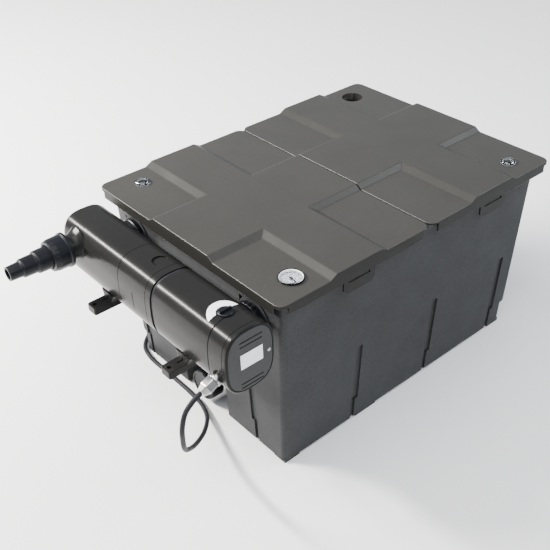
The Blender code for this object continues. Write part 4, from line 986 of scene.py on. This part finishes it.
def build_inlet():
    inlet = Vector((INLET_X, UV_Y - UV_HALF_Y, INLET_Z))
    ribs, rib_reach = 16, 0.025
    nut = turned("union", inlet, Y_AXIS, [
        (0.0285, -0.0165), (0.0285, -0.0212), (0.0266, -0.0222), (0.0262, -0.038), (0.0245, -0.048),
        (0.02, -0.049), (0.02, -0.0455), (0.0215, -0.045), (0.0215, -0.0205), (0.0196, -0.02), (0.0196, -0.0165)],
        96, closed=True, round_by=0.0007)
    for i in range(ribs):
        a = 2 * pi * i / ribs
        join(nut, turned("tool", inlet + Vector((cos(a), 0, sin(a))) * rib_reach, Y_AXIS, [
            (0.0004, -0.0215), (0.0017, -0.023), (0.0017, -0.0395), (0.0004, -0.0455)], 10))
    settle_as(nut, "inlet_union_nut", sharp=45)
    lathe("inlet_hose_tail", inlet, Y_AXIS, [
        (0.0207, -0.0415), (0.0207, -0.0448), (0.019, -0.0452), (0.0186, -0.048), (0.0182, -0.069),
        (0.0172, -0.0714), (0.0158, -0.072), (0.0155, -0.074), (0.0151, -0.093), (0.0142, -0.0952),
        (0.0128, -0.0958), (0.0124, -0.0975), (0.0116, -0.116), (0.0108, -0.1165), (0.0085, -0.1165),
        (0.0085, -0.095), (0.012, -0.072), (0.013, -0.0415)], 96, closed=True, round_by=0.0006)


def build_transfer():
    """The pipe from the clarifier through the tank's wall, with its nuts and gasket."""
    port = (PORT_X, PORT_FACE_Y, PORT_Z)
    reach = UV_Y + UV_HALF_Y - PORT_FACE_Y
    lathe("transfer_pipe", port, Y_AXIS, [
        (PORT_BORE, reach - 0.009), (PORT_BORE, reach + 0.002), (0.024, reach + 0.002), (0.024, reach + 0.005),
        (PORT_BORE, reach + 0.005), (PORT_BORE, 0.028), (0.0155, 0.028), (0.0155, reach - 0.009)], 64,
        closed=True)
    ribbed("transfer_union_nut", port, Y_AXIS, 0.029, PORT_BORE + GAP, reach + 0.0055, -0.0031, 20)
    lathe("wall_gasket", port, Y_AXIS, [
        (0.0275, -0.0027), (0.0275, -GAP), (PORT_BORE + GAP, -GAP), (PORT_BORE + GAP, -0.0027)], 64,
        closed=True)
    lock = turned("wall_nut", port, Y_AXIS, [(0.0285, 0.0135), (0.0285, 0.0215)], 6)
    cut(lock, round_tool(port, Y_AXIS, PORT_BORE + GAP, 0.0, 0.04))
    settle_as(lock, "wall_lock_nut", 0.0008, 3)


def build_spare_port():
    spare = (-PORT_X, PORT_FACE_Y, PORT_Z)
    lathe("spare_port_gasket", spare, Y_AXIS, [
        (0.0275, -0.002), (0.0275, -GAP), (PORT_BORE - 0.001, -GAP), (PORT_BORE - 0.001, -0.002)], 64,
        closed=True)
    plug = turned("spare", spare, Y_AXIS, [
        (0.0004, 0.024), (PORT_BORE - 0.0015, 0.024), (PORT_BORE - 0.0015, -0.0023), (0.0275, -0.0023),
        (0.029, -0.003), (0.029, -0.0075), (0.027, -0.0095), (0.02, -0.0095), (0.019, -0.007), (0.0004, -0.007)],
        round_by=0.0006)
    x, y, z = spare
    join(plug, box_tool((x - 0.016, y - 0.0105, z - 0.0025), (x + 0.016, y - 0.006, z + 0.0025)))
    settle_as(plug, "spare_port_plug", 0.0005)


def build_drain():
    drain = Vector((DRAIN_X, POCKET_BACK_Y, DRAIN_Z))
    flutes, flute_reach = 24, 0.0285
    lathe("drain_pipe", drain, Y_AXIS, [
        (DRAIN_PIPE, 0.015), (DRAIN_PIPE, -0.0003), (0.0215, -0.0003), (0.0215, -0.004), (0.019, -0.004),
        (0.019, -0.038), (0.015, -0.038), (0.0125, -0.03), (0.0125, 0.015)], 64, closed=True)
    lathe("drain_cap_seal", drain, Y_AXIS, [
        (0.0185, -0.0403), (0.0185, -0.0383), (0.015, -0.0383), (0.015, -0.0403)], 64, closed=True)
    cap = turned("cap", drain, Y_AXIS, [
        (0.0004, -0.0478), (0.0235, -0.0478), (0.0235, -0.049), (0.0262, -0.049), (0.0275, -0.046),
        (0.0275, -0.025), (0.0255, -0.023), (0.0195, -0.023), (0.0195, -0.0407), (0.0004, -0.0407)], 96,
        round_by=0.0005)
    for i in range(flutes):
        a = 2 * pi * (i + 0.5) / flutes
        out = Vector((cos(a), 0, sin(a)))
        cut(cap, round_tool(drain + out * flute_reach, Y_AXIS, 0.0018, -0.047, -0.021, 10))
    settle_as(cap, "drain_cap", 0.0003)


def build_outlet():
    outlet = (0, REAR_UPPER_Y, OUTLET_Z)
    lathe("outlet_pipe", outlet, Y_AXIS, [
        (OUTLET_PIPE, 0.008), (OUTLET_PIPE, -0.0053), (0.033, -0.0053), (0.033, -0.0095), (0.0215, -0.0095),
        (0.0215, 0.055), (0.0235, 0.055), (0.025, 0.03), (0.025, 0.008)], 80, closed=True)
    ribbed("outlet_lock_nut", outlet, Y_AXIS, 0.0335, 0.026, GAP, 0.013, 18)


# ------------------------------------------------------------------ cord fittings
def build_gland():
    body = [(0.006, -0.012), (0.006, 0.0006), (0.011, 0.0006), (0.011, 0.0045), (0.0072, 0.0048),
            (0.0072, 0.012), (0.004, 0.012), (0.004, -0.012)]
    lathe("gland_body", GLAND_BASE, GLAND_DIRECTION, body, 48, closed=True, round_by=0.0005)
    nut = turned("gland", GLAND_BASE, GLAND_DIRECTION, [
        (0.0112, 0.005), (0.0112, 0.0185), (0.009, 0.023), (0.0072, 0.028)], 6)
    cut(nut, round_tool(GLAND_BASE, GLAND_DIRECTION, 0.0076, 0.0, 0.0124, 48))
    cut(nut, round_tool(GLAND_BASE, GLAND_DIRECTION, 0.004, 0.0, 0.04, 48))
    settle_as(nut, "gland_nut", 0.0008, 3, angle=20)


def build_plug():
    lathe("plug_body", PLUG_AT, Y_AXIS, [
        (0.0004, 0.0002), (0.0058, 0.0002), (0.0062, 0.002), (0.007, 0.01), (0.0085, 0.016), (0.013, 0.019),
        (0.017, 0.022), (0.0185, 0.026), (0.0185, 0.046), (0.0175, 0.048), (0.0004, 0.048)], 64, round_by=0.001)
    for name, side in (("plug_pin_front", -1), ("plug_pin_rear", 1)):
        at = PLUG_AT + Vector((side * 0.0095, 0.048 + GAP, 0))
        lathe(name, at, Y_AXIS, [
            (0.0003, 0.0), (0.0024, 0.0), (0.0024, 0.017), (0.0014, 0.019), (0.0003, 0.019)], 32)


def build_tie():
    """A flat band round the coil."""
    middle = COIL_CENTRE + Vector((0, COIL_MEAN_RADIUS, COIL_BOTTOM + COIL_HALF_BAND))
    across, high, strap, half_width = COIL_HALF_BAND + 0.0009, COIL_HALF_BAND + 0.0004, 0.001, 0.0045
    rings = []
    for thick, x in ((strap, -half_width), (strap, half_width), (0, half_width), (0, -half_width)):
        ring = rectangle(-across - thick, across + thick, -high - thick, high + thick, 0.003 + thick, 0, 5)
        rings.append([middle + Vector((x, p.x, p.y)) for p in ring])
    tie = skin("tie", rings, closed=True)
    settle_as(tie, "cable_tie", 0.0002, angle=50)


# ------------------------------------------------------------------ inside the tank
def slotted(node_name, y0, y1, z):
    """A tray on four legs, with windows in it."""
    columns, rows = 4, 3
    tray = box(node_name, (-TRAY_HALF_X, y0, z), (TRAY_HALF_X, y1, z + TRAY_SHEET))
    for x in (0.012 - TRAY_HALF_X, TRAY_HALF_X - 0.012):
        for y in (y0 + 0.01, y1 - 0.01):
            join(tray, round_tool((x, y, 0.0123), Z_AXIS, 0.006, 0.0, z - 0.0103, 24))
    pitch_x, pitch_y = 2 * TRAY_HALF_X / columns, (y1 - y0) / rows
    for i in range(columns):
        for j in range(rows):
            x, y = -TRAY_HALF_X + pitch_x * (i + 0.5), y0 + pitch_y * (j + 0.5)
            cut(tray, box_tool((x - pitch_x * 0.32, y - pitch_y * 0.34, z - 0.01),
                               (x + pitch_x * 0.32, y + pitch_y * 0.34, z + 0.02)))
    settle_as(tray, node_name, 0.0008)


def soft_block(node_name, rings, holes, voxel, lump, seed):
    """A foam or mat block: its edges sag and its faces are uneven."""
    block = skin(node_name, rings)
    for hole in holes:
        cut(block, hole)
    settle(block)
    remesh = block.modifiers.new("remesh", "REMESH")
    remesh.mode = "VOXEL"
    remesh.voxel_size = voxel
    bake(block)
    low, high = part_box(node_name)
    for vert in block.data.vertices:
        place = vert.co * 38 + Vector((seed * 7.3, 0, 0))
        push = lump * (noise.noise(place) * 0.8 + 0.4 * noise.noise(place * 3.1)) - lump * 0.7
        vert.co += vert.normal * push
        for axis in range(3):
            vert.co[axis] = min(max(vert.co[axis], low[axis]), high[axis])
    smooth = block.modifiers.new("smooth", "SUBSURF")
    smooth.levels = smooth.render_levels = 1
    bake(block)
    block.data.shade_smooth()
    stand_for(block, node_name)


def build_inside():
    outline = ((-0.183, 0.0125), (0.183, 0.0125), (0.2, 0.312), (-0.2, 0.312))
    wall = skin("divider", [[Vector((x, y, z)) for x, z in outline] for y in (-0.002, 0.002)])
    for i in range(5):
        x = 0.07 * (i - 2)
        cut(wall, box_tool((x - 0.022, -0.01, 0.02), (x + 0.022, 0.01, 0.045)))
    settle_as(wall, "divider_wall", 0.0006)
    slotted("front_support_grate", -0.222, -0.008, 0.102)
    slotted("rear_support_grate", 0.008, 0.262, 0.061)
    bottom, top = FOAM_Z
    for index, x in enumerate(FOAM_X, start=1):
        rings = [rectangle(x - 0.055, x + 0.055, -0.219, -0.015, 0.012, z) for z in (bottom, top)]
        hole = round_tool((x, FOAM_Y, bottom), Z_AXIS, 0.0212, -0.01, 0.2, 40)
        soft_block("foam_block_%d" % index, rings, [hole], 0.005, 0.001, index)
        lathe("foam_core_%d" % index, (x, FOAM_Y, bottom), Z_AXIS, [
            (0.02, 0.0), (0.02, top - bottom + 0.001), (0.038, top - bottom + 0.0015),
            (0.038, top - bottom + 0.005), (0.0175, top - bottom + 0.005), (0.0175, 0.0)], 56, closed=True)
    for name, z0, z1, lump, seed in (("bio_media_bag", 0.0665, 0.125, 0.004, 11),
                                     ("coarse_filter_mat", 0.1262, 0.166, 0.0018, 12),
                                     ("fine_filter_mat", 0.1672, 0.202, 0.0012, 13)):
        rings = [rectangle(-0.176, 0.176, 0.016, 0.258, 0.014, z) for z in (z0, z1)]
        soft_block(name, rings, [], 0.006, lump, seed)


build_tank()
build_lid("front_lid", -LID_CENTRE_Y)
build_lid("rear_lid", LID_CENTRE_Y)
build_thermometer()
build_indicator("front", -FITTING_X, -FITTING_Y)
build_indicator("rear", FITTING_X, FITTING_Y)
build_inlet_chamber()
build_outlet_chamber()
build_seal_ring()
build_head()
build_lock()
build_lock_plate()
build_lamp()
build_inlet()
build_transfer()
build_spare_port()
build_drain()
build_outlet()
build_gland()
build_plug()
build_tie()
build_inside()
